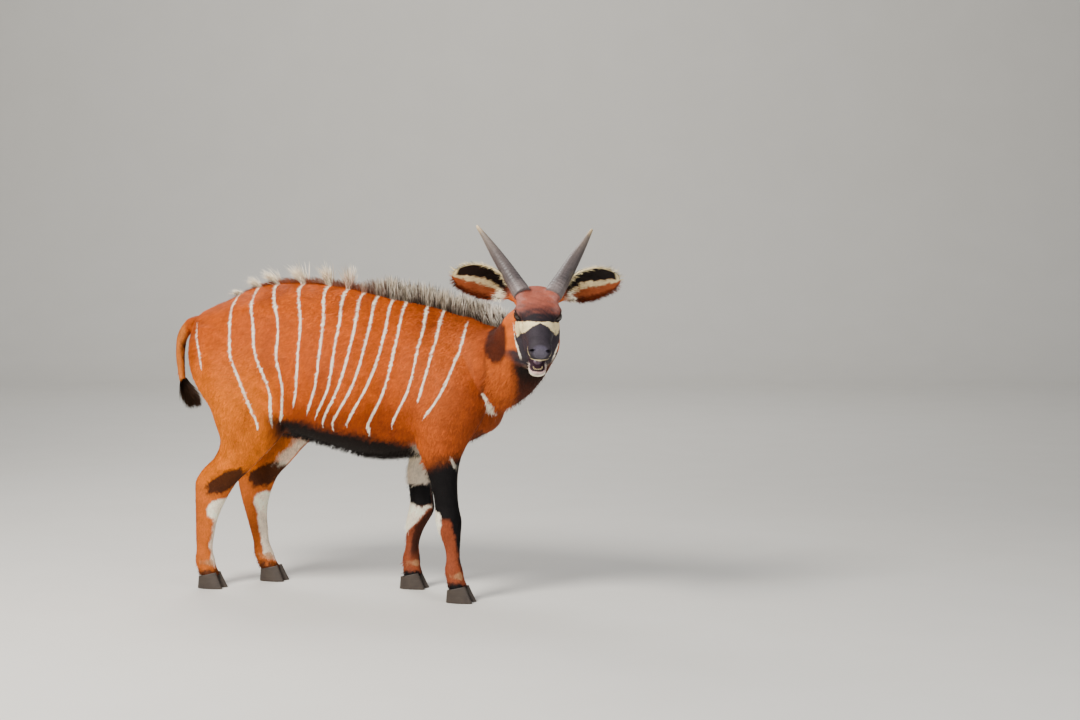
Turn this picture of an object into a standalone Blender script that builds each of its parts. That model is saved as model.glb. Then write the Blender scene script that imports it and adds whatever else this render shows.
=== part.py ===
"""A young bongo antelope standing with its head turned, as a life-size still model.

The animal faces +X, its left side is +Y, and its hooves stand at z = 0. The flesh is modelled
whole from lofted sections, fused, smoothed and thinned out, and then parted with thin cuts.
Metres throughout. The last step moves the finished model so that its origin is the middle of
the bottom of its box.
"""
import math
import random

import bmesh
import bpy
import numpy as np
from mathutils import Matrix, Vector
from mathutils.bvhtree import BVHTree

# Driving dimensions of the whole animal
GAP = 0.0003                # clearance between two nodes that meet
FLESH_VOXEL = 0.0045        # grain of the fused flesh
FLESH_TRIANGLES = 5800      # triangles of the whole flesh before it is parted
RING_POINTS = 40            # points round each lofted section

# Head: its poll, how far the face is pitched down, and how far it is turned from +X
POLL = (0.770, -0.210, 1.240)
FACE_PITCH = math.radians(34.0)
FACE_TURN = math.radians(-69.3)
FACE_ROLL = math.radians(-2.2)
JAW_HINGE = (0.085, -0.085)     # distance from the poll along the face, and height
JAW_OPEN = math.radians(15.0)

# Eyes, ears and horns, in the head's own frame: along the face, to the left, and up
EYE_PLACE = (0.153, 0.0660, -0.0450)
EYE_WAY = (0.52, 0.84, 0.12)
EYE_RADIUS = 0.0210
EAR_ROOT = (0.013, 0.0735, -0.0780)
EAR_LENGTH = 0.252
EAR_WIDTH = 0.136
EAR_WALL = 0.0040
HORN_ROOT = (0.060, 0.0610, -0.0100)
HORN_RADIUS = 0.0315

# Crest along the back, tail and hooves
CREST_FROM_X = -0.625
CREST_TO_X = 0.585
CREST_LOCKS = 28
CREST_ROWS = 2
CREST_LEAN = math.radians(38.0)
HOOF_LENGTH = 0.108
HOOF_WIDTH = 0.043
CORONET_HEIGHT = 0.056
CORONET_SLOPE = math.radians(-13.0)

# Trunk sections: x, top, bottom, half width, height of the widest point from 0 to 1, top roundness
TRUNK = [
    (-0.748, 1.030, 0.940, 0.035, 0.50, 2.0),
    (-0.715, 1.085, 0.845, 0.098, 0.50, 2.0),
    (-0.665, 1.115, 0.725, 0.150, 0.52, 2.0),
    (-0.580, 1.148, 0.650, 0.182, 0.54, 2.0),
    (-0.490, 1.190, 0.618, 0.202, 0.54, 1.9),
    (-0.390, 1.211, 0.610, 0.215, 0.50, 1.9),
    (-0.270, 1.216, 0.603, 0.232, 0.46, 1.9),
    (-0.120, 1.206, 0.572, 0.248, 0.44, 1.9),
    (0.020, 1.180, 0.543, 0.248, 0.44, 1.85),
    (0.130, 1.158, 0.540, 0.228, 0.45, 1.75),
    (0.260, 1.138, 0.558, 0.196, 0.46, 1.65),
    (0.380, 1.105, 0.590, 0.178, 0.45, 1.65),
    (0.480, 1.050, 0.632, 0.150, 0.45, 1.8),
    (0.550, 0.960, 0.690, 0.105, 0.45, 2.0),
    (0.575, 0.880, 0.760, 0.050, 0.50, 2.0),
]

# Hind leg sections from the hip down: height, rear, front, middle from the midline, half width
HIND_LEG = [
    (1.050, -0.680, -0.430, 0.085, 0.070),
    (0.960, -0.712, -0.340, 0.112, 0.098),
    (0.860, -0.694, -0.290, 0.130, 0.108),
    (0.760, -0.636, -0.272, 0.143, 0.104),
    (0.670, -0.590, -0.272, 0.150, 0.088),
    (0.590, -0.566, -0.325, 0.147, 0.068),
    (0.530, -0.596, -0.390, 0.140, 0.053),
    (0.475, -0.652, -0.448, 0.133, 0.044),
    (0.430, -0.684, -0.500, 0.128, 0.040),
    (0.385, -0.688, -0.535, 0.125, 0.041),
    (0.335, -0.689, -0.566, 0.122, 0.039),
    (0.280, -0.690, -0.592, 0.120, 0.033),
    (0.210, -0.691, -0.610, 0.119, 0.0290),
    (0.150, -0.690, -0.618, 0.118, 0.0280),
    (0.110, -0.694, -0.609, 0.118, 0.0335),
    (0.080, -0.684, -0.602, 0.118, 0.0325),
    (0.045, -0.672, -0.590, 0.118, 0.0380),
    (0.020, -0.670, -0.582, 0.118, 0.0390),
]

# Fore leg sections from the shoulder blade down, in the same order
FORE_LEG = [
    (1.090, 0.190, 0.330, 0.070, 0.040),
    (0.980, 0.165, 0.450, 0.108, 0.066),
    (0.870, 0.180, 0.525, 0.128, 0.080),
    (0.770, 0.210, 0.545, 0.138, 0.080),
    (0.680, 0.245, 0.515, 0.142, 0.072),
    (0.610, 0.266, 0.470, 0.142, 0.064),
    (0.565, 0.275, 0.446, 0.139, 0.058),
    (0.500, 0.304, 0.428, 0.135, 0.051),
    (0.430, 0.322, 0.424, 0.130, 0.045),
    (0.365, 0.330, 0.428, 0.126, 0.042),
    (0.315, 0.331, 0.438, 0.124, 0.0445),
    (0.270, 0.340, 0.435, 0.122, 0.0385),
    (0.225, 0.361, 0.432, 0.121, 0.0295),
    (0.165, 0.372, 0.431, 0.120, 0.0260),
    (0.120, 0.366, 0.442, 0.120, 0.0320),
    (0.088, 0.374, 0.448, 0.120, 0.0310),
    (0.050, 0.383, 0.461, 0.120, 0.0380),
    (0.020, 0.385, 0.470, 0.120, 0.0390),
]

# How far the far legs stand from the near ones along x, by height
FORE_STEP = [(0.0, -0.285), (0.12, -0.268), (0.22, -0.250), (0.31, -0.208), (0.49, -0.190),
             (0.60, -0.115), (0.80, -0.010), (1.10, 0.0)]
HIND_STEP = [(0.0, 0.160), (0.12, 0.145), (0.42, 0.062), (0.60, 0.030), (0.80, 0.008), (1.10, 0.0)]

# Neck sections: middle of the section, half height, half width
NECK = [
    ((0.330, 0.000, 0.895), 0.215, 0.165),
    ((0.440, -0.008, 0.895), 0.200, 0.148),
    ((0.545, -0.055, 0.900), 0.172, 0.122),
    ((0.640, -0.125, 0.930), 0.150, 0.105),
    ((0.715, -0.178, 1.000), 0.140, 0.094),
    ((0.765, -0.205, 1.080), 0.120, 0.082),
    ((0.790, -0.232, 1.140), 0.085, 0.062),
]

# Upper head sections: along the face, top, bottom, half width, height of the widest point
UPPER_HEAD = [
    (-0.050, -0.070, -0.110, 0.030, 0.50),
    (-0.030, -0.044, -0.128, 0.056, 0.50),
    (0.010, -0.016, -0.145, 0.072, 0.58),
    (0.055, -0.002, -0.155, 0.079, 0.66),
    (0.100, 0.004, -0.155, 0.082, 0.72),
    (0.145, 0.002, -0.146, 0.078, 0.72),
    (0.190, -0.004, -0.133, 0.067, 0.62),
    (0.240, -0.009, -0.116, 0.0565, 0.52),
    (0.290, -0.012, -0.104, 0.0495, 0.46),
    (0.325, -0.014, -0.099, 0.0470, 0.42),
    (0.350, -0.020, -0.096, 0.0450, 0.40),
    (0.368, -0.036, -0.090, 0.0350, 0.42),
    (0.376, -0.054, -0.078, 0.0160, 0.50),
]

# Lower jaw sections with the mouth shut, in the same order
LOWER_JAW = [
    (0.045, -0.110, -0.165, 0.030, 0.50),
    (0.075, -0.090, -0.182, 0.052, 0.50),
    (0.130, -0.088, -0.183, 0.058, 0.50),
    (0.190, -0.098, -0.170, 0.050, 0.50),
    (0.250, -0.102, -0.152, 0.0380, 0.50),
    (0.300, -0.099, -0.141, 0.0330, 0.50),
    (0.332, -0.095, -0.137, 0.0320, 0.50),
    (0.350, -0.098, -0.128, 0.0240, 0.50),
    (0.357, -0.105, -0.117, 0.0100, 0.50),
]

# Tail: middle of the section and its half thickness, from the root down
TAIL = [
    ((-0.690, 0.000, 1.055), 0.034, 0.050),
    ((-0.755, 0.000, 1.043), 0.029, 0.036),
    ((-0.797, 0.000, 0.998), 0.024, 0.027),
    ((-0.810, 0.000, 0.935), 0.021, 0.023),
    ((-0.808, 0.000, 0.865), 0.018, 0.020),
    ((-0.798, 0.000, 0.800), 0.016, 0.018),
]

# Swellings and hollows of the surface: middle, reach along x, y and z, height; both sides alike
FORMS = {
    "shoulder_blade": ((0.250, 0.150, 0.960), (0.045, 0.060, 0.090), 0.010),
    "shoulder_point": ((0.505, 0.130, 0.800), (0.045, 0.045, 0.050), 0.012),
    "behind_shoulder": ((0.140, 0.215, 0.790), (0.030, 0.070, 0.120), -0.013),
    "upper_arm": ((0.330, 0.190, 0.720), (0.060, 0.050, 0.060), 0.010),
    "flank_hollow": ((-0.300, 0.200, 1.010), (0.060, 0.060, 0.045), -0.018),
    "hip_bone": ((-0.430, 0.160, 1.120), (0.035, 0.040, 0.030), 0.014),
    "seat_bone": ((-0.715, 0.070, 0.960), (0.030, 0.035, 0.035), 0.012),
    "thigh": ((-0.470, 0.230, 0.800), (0.090, 0.060, 0.090), 0.012),
    "thigh_groove": ((-0.600, 0.190, 0.740), (0.022, 0.070, 0.120), -0.010),
    "flank_fold": ((-0.255, 0.190, 0.690), (0.045, 0.040, 0.050), 0.012),
    "last_ribs": ((-0.100, 0.240, 0.800), (0.080, 0.060, 0.110), 0.006),
}

# Swellings of the face, in the head's own frame
FACE_FORMS = {
    "brow": ((0.140, 0.070, -0.020), (0.026, 0.018, 0.012), 0.005),
    "eye_opening": ((0.163, 0.084, -0.045), (0.012, 0.013, 0.008), -0.006),
    "eye_front": ((0.186, 0.066, -0.046), (0.014, 0.014, 0.014), -0.004),
    "tear_line": ((0.185, 0.055, -0.060), (0.022, 0.020, 0.012), -0.004),
    "cheek_ridge": ((0.190, 0.052, -0.085), (0.040, 0.020, 0.012), 0.004),
    "nose_bridge": ((0.250, 0.000, -0.006), (0.060, 0.020, 0.020), 0.003),
    "muzzle_side": ((0.290, 0.045, -0.060), (0.030, 0.020, 0.022), -0.003),
    "temple": ((0.090, 0.075, -0.055), (0.025, 0.020, 0.020), -0.006),
    "upper_lip": ((0.345, 0.034, -0.092), (0.030, 0.016, 0.010), 0.003),
}

# Ear along its length: width, depth, how hollow its face is from -1 to 1, and forward bend
EAR_SHAPE = np.array([
    (0.00, 0.28, 0.0140, -1.00, 0.000),
    (0.10, 0.34, 0.0180, -0.75, 0.000),
    (0.22, 0.56, 0.0260, 0.35, 0.000),
    (0.40, 0.92, 0.0330, 1.00, 0.002),
    (0.60, 1.00, 0.0290, 1.00, 0.006),
    (0.80, 0.86, 0.0200, 1.00, 0.012),
    (0.92, 0.60, 0.0120, 1.00, 0.016),
    (1.00, 0.26, 0.0075, 0.60, 0.018),
])

# Tongue sections with the mouth shut: along the face, top, bottom, half width
TONGUE = [
    (0.170, -0.096, -0.110, 0.012),
    (0.230, -0.090, -0.112, 0.019),
    (0.280, -0.088, -0.110, 0.018),
    (0.308, -0.091, -0.106, 0.013),
    (0.316, -0.095, -0.102, 0.006),
]
TOOTH_COUNT = 8

# Cuts between the nodes of flesh
NECK_CUT = (0.565, -0.060, 0.900)
NECK_CUT_WAY = (0.90, -0.40, 0.14)
ARMPIT_SLOPE = math.radians(32.0)
GROIN_SLOPE = math.radians(30.0)
KNEE_CUT = 0.352
HOCK_CUT = 0.480
SMALLEST_NODE = 0.00012

LEGS = {
    "front_right": (-1, FORE_LEG, None),
    "front_left": (1, FORE_LEG, FORE_STEP),
    "hind_right": (-1, HIND_LEG, None),
    "hind_left": (1, HIND_LEG, HIND_STEP),
}
SIDES = {"right": -1, "left": 1}

# A point near the middle of each node of flesh, by which the parted pieces are named
FLESH_NODES = {
    "torso": (-0.08, 0.0, 0.88),
    "neck": (0.68, -0.15, 0.96),
    "head": (0.82, -0.36, 1.10),
    "tail": (-0.80, 0.0, 0.92),
    "front_right_upper": (0.36, -0.14, 0.46),
    "front_right_lower": (0.40, -0.12, 0.20),
    "front_left_upper": (0.20, 0.14, 0.46),
    "front_left_lower": (0.15, 0.12, 0.20),
    "hind_right_upper": (-0.48, -0.14, 0.60),
    "hind_right_lower": (-0.63, -0.12, 0.25),
    "hind_left_upper": (-0.46, 0.14, 0.60),
    "hind_left_lower": (-0.54, 0.12, 0.25),
}

# Crest: length of its locks along the back, from 0 at the rump to 1 behind the ears
CREST_LENGTH = np.array([(0.0, 0.030), (0.10, 0.055), (0.22, 0.072), (0.35, 0.070), (0.50, 0.062),
                         (0.65, 0.070), (0.80, 0.080), (0.92, 0.070), (1.0, 0.045)])
CREST_ROW_GAP = 0.016
CREST_LOCK_WIDTH = 0.047
CREST_LOCK_THICK = 0.012

# Colour and roughness of each finish
FINISHES = {
    "coat": ((0.42, 0.13, 0.035), 0.75),
    "dark_hair": ((0.02, 0.015, 0.012), 0.7),
    "horn": ((0.20, 0.15, 0.11), 0.45),
    "hoof": ((0.06, 0.045, 0.035), 0.5),
    "eye": ((0.01, 0.006, 0.004), 0.08),
    "tongue": ((0.20, 0.07, 0.10), 0.35),
}


def smooth_curve(knots, values, at):
    """Cubic curve through the knots, with slopes taken from each knot's neighbours."""
    knots = np.asarray(knots, float)
    values = np.asarray(values, float)
    slopes = np.gradient(values, knots, axis=0)
    at = np.clip(at, knots[0], knots[-1])
    low = np.clip(np.searchsorted(knots, at, side="right") - 1, 0, len(knots) - 2)
    span = knots[low + 1] - knots[low]
    u = (at - knots[low]) / span
    if values.ndim > 1:
        u = u[:, None]
        span = span[:, None]
    rise = (1 + 2 * u) * (1 - u) ** 2 * values[low] + u ** 2 * (3 - 2 * u) * values[low + 1]
    turn = u * (1 - u) ** 2 * slopes[low] - u ** 2 * (1 - u) * slopes[low + 1]
    return rise + turn * span


def section(middle, side, up, half_side, half_up, half_down, power_up=2.0, power_down=2.2):
    """Points round a rounded section, with its own roundness above and below the middle."""
    angle = np.linspace(0.0, 2 * math.pi, RING_POINTS, endpoint=False)
    across, rise = np.cos(angle), np.sin(angle)
    power = np.where(rise > 0, power_up, power_down)
    across = np.sign(across) * np.abs(across) ** (2 / power)
    height = np.where(rise > 0, half_up, half_down) * np.sign(rise) * np.abs(rise) ** (2 / power)
    points = np.outer(across * half_side, side) + np.outer(height, up)
    return points + np.asarray(middle, float)


def lofted_mesh(rings):
    """Closed mesh through a row of rings, each end closed by a fan round its middle."""
    mesh = bmesh.new()
    rows = [[mesh.verts.new(point) for point in ring] for ring in rings]
    count = len(rows[0])
    for row, following in zip(rows, rows[1:]):
        for i in range(count):
            j = (i + 1) % count
            mesh.faces.new((row[i], row[j], following[j], following[i]))
    for row in (rows[0], rows[-1]):
        middle = sum((vert.co for vert in row), Vector()) / count
        tip = mesh.verts.new(middle)
        for i in range(count):
            mesh.faces.new((row[i], row[(i + 1) % count], tip))
    bmesh.ops.recalc_face_normals(mesh, faces=mesh.faces)
    if mesh.calc_volume(signed=True) < 0:
        bmesh.ops.reverse_faces(mesh, faces=mesh.faces)
    return mesh


def mesh_object(name, mesh):
    """Object made from a bmesh, linked to the scene."""
    data = bpy.data.meshes.new(name)
    mesh.to_mesh(data)
    mesh.free()
    thing = bpy.data.objects.new(name, data)
    bpy.context.scene.collection.objects.link(thing)
    return thing


def lofted(name, rings):
    return mesh_object(name, lofted_mesh(rings))


def ball(name, middle, radii, turn=None, segments=24):
    """Ellipsoid with its own radii, turned by a matrix if one is given."""
    mesh = bmesh.new()
    bmesh.ops.create_uvsphere(mesh, u_segments=segments, v_segments=segments // 2, radius=1.0)
    place = Matrix.Translation(middle) @ (turn or Matrix()).to_4x4() @ Matrix.Diagonal((*radii, 1.0))
    mesh.transform(place)
    return mesh_object(name, mesh)


def tube_rings(path, radii, up_hint=(0, 0, 1), count=12):
    """Rings of a round tube along a path."""
    path = np.asarray(path, float)
    tangent = np.gradient(path, axis=0)
    tangent /= np.linalg.norm(tangent, axis=1)[:, None]
    angle = np.linspace(0.0, 2 * math.pi, count, endpoint=False)
    rings = []
    for point, along, radius in zip(path, tangent, radii):
        side = np.cross(along, up_hint)
        side /= np.linalg.norm(side)
        up = np.cross(side, along)
        rings.append(point + radius * (np.outer(np.cos(angle), side) + np.outer(np.sin(angle), up)))
    return rings


def head_frame():
    """Matrix from the head's own frame (along the face, to the left, up) to the animal's frame."""
    turn = Matrix.Rotation(FACE_TURN, 3, "Z")
    pitch = Matrix.Rotation(FACE_PITCH, 3, "Y")
    roll = Matrix.Rotation(FACE_ROLL, 3, "X")
    return Matrix.Translation(POLL) @ (turn @ pitch @ roll).to_4x4()


HEAD = head_frame()


def on_head(points):
    """Points of the head's own frame, in the animal's frame."""
    matrix = np.array(HEAD)
    return np.asarray(points, float) @ matrix[:3, :3].T + matrix[:3, 3]


def opened(points):
    """Points of the lower jaw turned down about its hinge."""
    points = np.array(points, float)
    along, up = points[:, 0] - JAW_HINGE[0], points[:, 2] - JAW_HINGE[1]
    cos, sin = math.cos(JAW_OPEN), math.sin(JAW_OPEN)
    points[:, 0] = JAW_HINGE[0] + along * cos + up * sin
    points[:, 2] = JAW_HINGE[1] - along * sin + up * cos
    return points


def trunk_rings(steps=60):
    table = np.array(TRUNK)
    rings = []
    x_values = np.linspace(table[0, 0], table[-1, 0], steps)
    for x, row in zip(x_values, smooth_curve(table[:, 0], table[:, 1:], x_values)):
        top, bottom, half, widest, power = row
        middle = bottom + widest * (top - bottom)
        rings.append(section((x, 0, middle), (0, 1, 0), (0, 0, 1), half, top - middle,
                             middle - bottom, power, 2.15))
    return rings


def leg_rings(table, side, step=None, steps=70):
    """Level sections down a leg. The step table moves them along x by height."""
    table = np.array(table)[::-1]
    heights = np.linspace(table[-1, 0], table[0, 0], steps)
    rings = []
    for z, row in zip(heights, smooth_curve(table[:, 0], table[:, 1:], heights)):
        rear, front, middle, half = row
        move = 0.0
        if step:
            knots = np.array(step)
            move = smooth_curve(knots[:, 0], knots[:, 1], np.array([z]))[0]
        centre = ((rear + front) / 2 + move, side * middle, z)
        deep = (front - rear) / 2
        rings.append(section(centre, (0, 1, 0), (1, 0, 0), half, deep, deep, 2.1, 2.1))
    return rings


def neck_rings(steps=40):
    middles = np.array([row[0] for row in NECK])
    sizes = np.array([row[1:] for row in NECK])
    along = np.concatenate(([0.0], np.cumsum(np.linalg.norm(np.diff(middles, axis=0), axis=1))))
    at = np.linspace(0.0, along[-1], steps)
    path = smooth_curve(along, middles, at)
    half = smooth_curve(along, sizes, at)
    tangent = np.gradient(path, axis=0)
    tangent /= np.linalg.norm(tangent, axis=1)[:, None]
    rings = []
    for point, direction, (tall, wide) in zip(path, tangent, half):
        side = np.cross((0, 0, 1), direction)
        side /= np.linalg.norm(side)
        up = np.cross(direction, side)
        rings.append(section(point, side, up, wide, tall, tall, 1.9, 2.0))
    return rings


def head_rings(table, jaw=False, steps=48):
    table = np.array(table)
    at = np.linspace(table[0, 0], table[-1, 0], steps)
    rings = []
    for s, row in zip(at, smooth_curve(table[:, 0], table[:, 1:], at)):
        top, bottom, half, widest = row
        middle = bottom + widest * (top - bottom)
        ring = section((s, 0, middle), (0, 1, 0), (0, 0, 1), half, top - middle, middle - bottom,
                       2.3, 2.2)
        rings.append(on_head(opened(ring)) if jaw else on_head(ring))
    return rings


def tail_rings(steps=26):
    middles = np.array([row[0] for row in TAIL])
    sizes = np.array([row[1:] for row in TAIL])
    along = np.concatenate(([0.0], np.cumsum(np.linalg.norm(np.diff(middles, axis=0), axis=1))))
    at = np.linspace(0.0, along[-1], steps)
    path = smooth_curve(along, middles, at)
    half = smooth_curve(along, sizes, at)
    tangent = np.gradient(path, axis=0)
    tangent /= np.linalg.norm(tangent, axis=1)[:, None]
    side = np.array((0.0, 1.0, 0.0))
    return [section(point, side, np.cross(direction, side), wide, thick, thick)
            for point, direction, (thick, wide) in zip(path, tangent, half)]


def head_ball(name, place, radii, segments=24):
    return ball(name, on_head([place])[0], radii, HEAD.to_3x3(), segments)


def mirrored(place, side):
    return (place[0], side * place[1], place[2])


def apply_modifiers(thing):
    """Replaces the object's mesh with its evaluated one."""
    bpy.context.view_layer.update()
    graph = bpy.context.evaluated_depsgraph_get()
    data = bpy.data.meshes.new_from_object(thing.evaluated_get(graph))
    old = thing.data
    thing.modifiers.clear()
    thing.data = data
    bpy.data.meshes.remove(old)


def join_meshes(name, things):
    """One object that holds the meshes of several, which are removed."""
    mesh = bmesh.new()
    for thing in things:
        mesh.from_mesh(thing.data)
    for thing in things:
        bpy.data.objects.remove(thing)
    return mesh_object(name, mesh)


def lid_rings(side, upper):
    """Rings of one eyelid, a roll along half of an almond-shaped opening."""
    out = np.array(mirrored(EYE_WAY, side))
    out /= np.linalg.norm(out)
    ahead = np.array((0.96, 0.0, -0.28))
    ahead -= out * (ahead @ out)
    ahead /= np.linalg.norm(ahead)
    rise = np.cross(ahead, out) * -side
    along = np.linspace(-1.0, 1.0, 9)
    reach = along * 0.0188
    lift = (0.0112 if upper else -0.0098) * (1 - np.abs(along) ** 2.0)
    depth = np.sqrt((EYE_RADIUS + 0.0010) ** 2 - reach ** 2 - lift ** 2)
    path = np.array(mirrored(EYE_PLACE, side)) + np.outer(reach, ahead)
    path = path + np.outer(lift, rise) + np.outer(depth, out)
    thick = (0.0052 if upper else 0.0042) * (1 - 0.3 * np.abs(along))
    return [on_head(ring) for ring in tube_rings(path, thick, count=6)]


def lip_rings(jaw):
    """Rings of a lip, a roll that runs from one corner of the mouth round the front."""
    turn = np.linspace(-math.pi / 2, math.pi / 2, 15)
    reach = np.abs(np.sin(turn)) ** 1.6
    if jaw:
        path = np.stack((0.344 - 0.078 * reach, 0.0265 * np.sin(turn), -0.0985 - 0.010 * reach), axis=1)
        thick = 0.0078 - 0.0022 * reach
    else:
        path = np.stack((0.361 - 0.072 * reach, 0.0345 * np.sin(turn), -0.0885 - 0.0035 * reach), axis=1)
        thick = 0.0095 - 0.0030 * reach
    rings = tube_rings(path, thick, count=8)
    return [on_head(opened(ring)) if jaw else on_head(ring) for ring in rings]


def nostril_rings(side, grow=0.0):
    """Rings of the comma-shaped pit of one nostril, from its depth out through the skin."""
    path = np.array([(0.336, 0.017, -0.052), (0.350, 0.0235, -0.049), (0.366, 0.031, -0.046),
                     (0.380, 0.038, -0.043)])
    path[:, 1] *= side
    thick = np.array([0.0035, 0.0065, 0.0085, 0.0100]) + grow
    return [on_head(ring) for ring in tube_rings(path, thick, count=8)]


def flesh_pieces():
    """Overlapping closed forms that fuse into the whole of the flesh."""
    pieces = [
        lofted("trunk", trunk_rings()),
        lofted("neck_form", neck_rings()),
        lofted("near_hind", leg_rings(HIND_LEG, -1)),
        lofted("far_hind", leg_rings(HIND_LEG, 1, HIND_STEP)),
        lofted("near_fore", leg_rings(FORE_LEG, -1)),
        lofted("far_fore", leg_rings(FORE_LEG, 1, FORE_STEP)),
        lofted("upper_head", head_rings(UPPER_HEAD)),
        lofted("lower_jaw", head_rings(LOWER_JAW, jaw=True)),
        lofted("tail_form", tail_rings()),
        head_ball("nose_pad", (0.356, 0.0, -0.054), (0.018, 0.028, 0.028)),
    ]
    for side in (-1, 1):
        pieces += [
            head_ball("jaw_muscle", mirrored((0.105, 0.044, -0.120), side), (0.070, 0.034, 0.060)),
            head_ball("mouth_corner", mirrored((0.185, 0.033, -0.128), side), (0.078, 0.022, 0.044)),
            head_ball("orbit", mirrored((0.144, 0.061, -0.046), side), (0.044, 0.028, 0.035)),
            head_ball("horn_seat", mirrored((0.066, 0.052, -0.018), side), (0.046, 0.036, 0.026)),
            head_ball("ear_seat", mirrored((0.022, 0.062, -0.066), side), (0.030, 0.026, 0.034)),
            head_ball("nostril_wing", mirrored((0.345, 0.028, -0.050), side), (0.022, 0.018, 0.022)),
        ]
    return pieces


def paint_group(thing, name, weights):
    """Vertex group with one weight for each vertex, in steps of a tenth."""
    group = thing.vertex_groups.new(name=name)
    steps = np.round(weights, 1)
    for level in np.unique(steps):
        group.add(np.nonzero(steps == level)[0].tolist(), float(level), "REPLACE")


def vertex_array(data, what="co"):
    values = np.empty(len(data.vertices) * 3)
    data.vertices.foreach_get(what, values)
    return values.reshape(-1, 3)


def head_nearness(points):
    """1 on the face, falling to 0 some way behind the ears and down the throat."""
    matrix = np.array(HEAD.inverted())
    local = points @ matrix[:3, :3].T + matrix[:3, 3]
    ahead = np.clip((local[:, 0] + 0.05) / 0.06, 0.0, 1.0)
    above = np.clip((local[:, 2] + 0.24) / 0.04, 0.0, 1.0)
    return ahead * above


def leg_nearness(points):
    """1 on the legs and the tail, falling to 0 at the belly."""
    low = np.clip((0.56 - points[:, 2]) / 0.08, 0.0, 1.0)
    tail = np.clip((-0.755 - points[:, 0]) / 0.02, 0.0, 1.0)
    return np.maximum(low, tail)


def model_forms(thing):
    """Raises each named swelling and sinks each hollow along the surface's normals."""
    data = thing.data
    points = vertex_array(data)
    normals = vertex_array(data, "normal")
    lift = np.zeros(len(points))
    for middle, reach, height in FORMS.values():
        for side in (-1, 1):
            away = (points - np.array(mirrored(middle, side))) / np.array(reach)
            lift += height * np.exp(-0.5 * np.sum(away ** 2, axis=1))
    matrix = np.array(HEAD.inverted())
    local = points @ matrix[:3, :3].T + matrix[:3, 3]
    for middle, reach, height in FACE_FORMS.values():
        for side in (-1, 1):
            away = (local - np.array(mirrored(middle, side))) / np.array(reach)
            lift += height * np.exp(-0.5 * np.sum(away ** 2, axis=1))
    points += normals * lift[:, None]
    data.vertices.foreach_set("co", points.ravel())
    data.update()


def fused_flesh():
    """The whole flesh as one closed mesh of few triangles."""
    flesh = join_meshes("flesh", flesh_pieces())
    fuse = flesh.modifiers.new("fuse", "REMESH")
    fuse.mode = "VOXEL"
    fuse.voxel_size = FLESH_VOXEL
    apply_modifiers(flesh)
    keep_largest(flesh)
    near = head_nearness(vertex_array(flesh.data))
    paint_group(flesh, "soft", 1.0 - 0.5 * near)
    soften = flesh.modifiers.new("soften", "SMOOTH")
    soften.factor = 0.5
    soften.iterations = 26
    soften.vertex_group = "soft"
    apply_modifiers(flesh)
    model_forms(flesh)
    points = vertex_array(flesh.data)
    fine = np.maximum(0.9 * head_nearness(points), 0.6 * leg_nearness(points))
    fine = np.maximum(fine, 0.3 * (points[:, 0] > 0.45))
    paint_group(flesh, "plain", 1.0 - fine)
    thin = flesh.modifiers.new("thin", "DECIMATE")
    triangles = sum(len(face.vertices) - 2 for face in flesh.data.polygons)
    thin.ratio = FLESH_TRIANGLES / triangles
    thin.vertex_group = "plain"
    thin.vertex_group_factor = 0.16
    apply_modifiers(flesh)
    return flesh


def cutter(thing):
    """Marks a guide that is only there to cut."""
    thing.hide_render = True
    thing.display_type = "WIRE"
    return thing


def combine(thing, helpers, operation, solver="EXACT"):
    """One Boolean on a collection of closed meshes, applied, after which they are removed."""
    group = bpy.data.collections.new(operation.lower())
    bpy.context.scene.collection.children.link(group)
    for helper in helpers:
        bpy.context.scene.collection.objects.unlink(helper)
        group.objects.link(cutter(helper))
    change = thing.modifiers.new("change", "BOOLEAN")
    change.operation = operation
    change.solver = solver
    change.operand_type = "COLLECTION"
    change.collection = group
    apply_modifiers(thing)
    for helper in helpers:
        bpy.data.objects.remove(helper)
    bpy.data.collections.remove(group)
    return thing


def slab(middle, normal, half_width, half_height):
    """Thin cut square to a direction, as thick as the gap between two nodes."""
    mesh = bmesh.new()
    bmesh.ops.create_cube(mesh, size=2.0)
    turn = Vector(normal).to_track_quat("X", "Z").to_matrix().to_4x4()
    size = Matrix.Diagonal((GAP / 2, half_width, half_height, 1.0))
    mesh.transform(Matrix.Translation(middle) @ turn @ size)
    return mesh_object("cut", mesh)


def behind_head_slab():
    """Thin bent cut behind the poll and the jaw angle, then forward under the lower jaw."""
    line = [(-0.078, 0.080), (0.036, -0.199), (0.400, -0.204)]
    far = [(line[0][0] - GAP, line[0][1]), (line[1][0] - GAP, line[1][1] - GAP),
           (line[2][0], line[2][1] - GAP)]
    outline = line + far[::-1]
    mesh = bmesh.new()
    left = [mesh.verts.new(HEAD @ Vector((s, 0.30, h))) for s, h in outline]
    right = [mesh.verts.new(HEAD @ Vector((s, -0.30, h))) for s, h in outline]
    mesh.faces.new(left)
    mesh.faces.new(right[::-1])
    for i in range(len(outline)):
        j = (i + 1) % len(outline)
        mesh.faces.new((left[j], left[i], right[i], right[j]))
    bmesh.ops.recalc_face_normals(mesh, faces=mesh.faces)
    return mesh_object("cut", mesh)


def coronet_middle(leg):
    """Middle of the ring where a leg meets its hooves."""
    side, table, step = LEGS[leg]
    row = table[-2]
    move = step[0][1] if step else 0.0
    return ((row[1] + row[2]) / 2 + move - 0.002, side * row[3], CORONET_HEIGHT)


def coronet_normal():
    return (math.sin(CORONET_SLOPE), 0.0, math.cos(CORONET_SLOPE))


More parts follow.
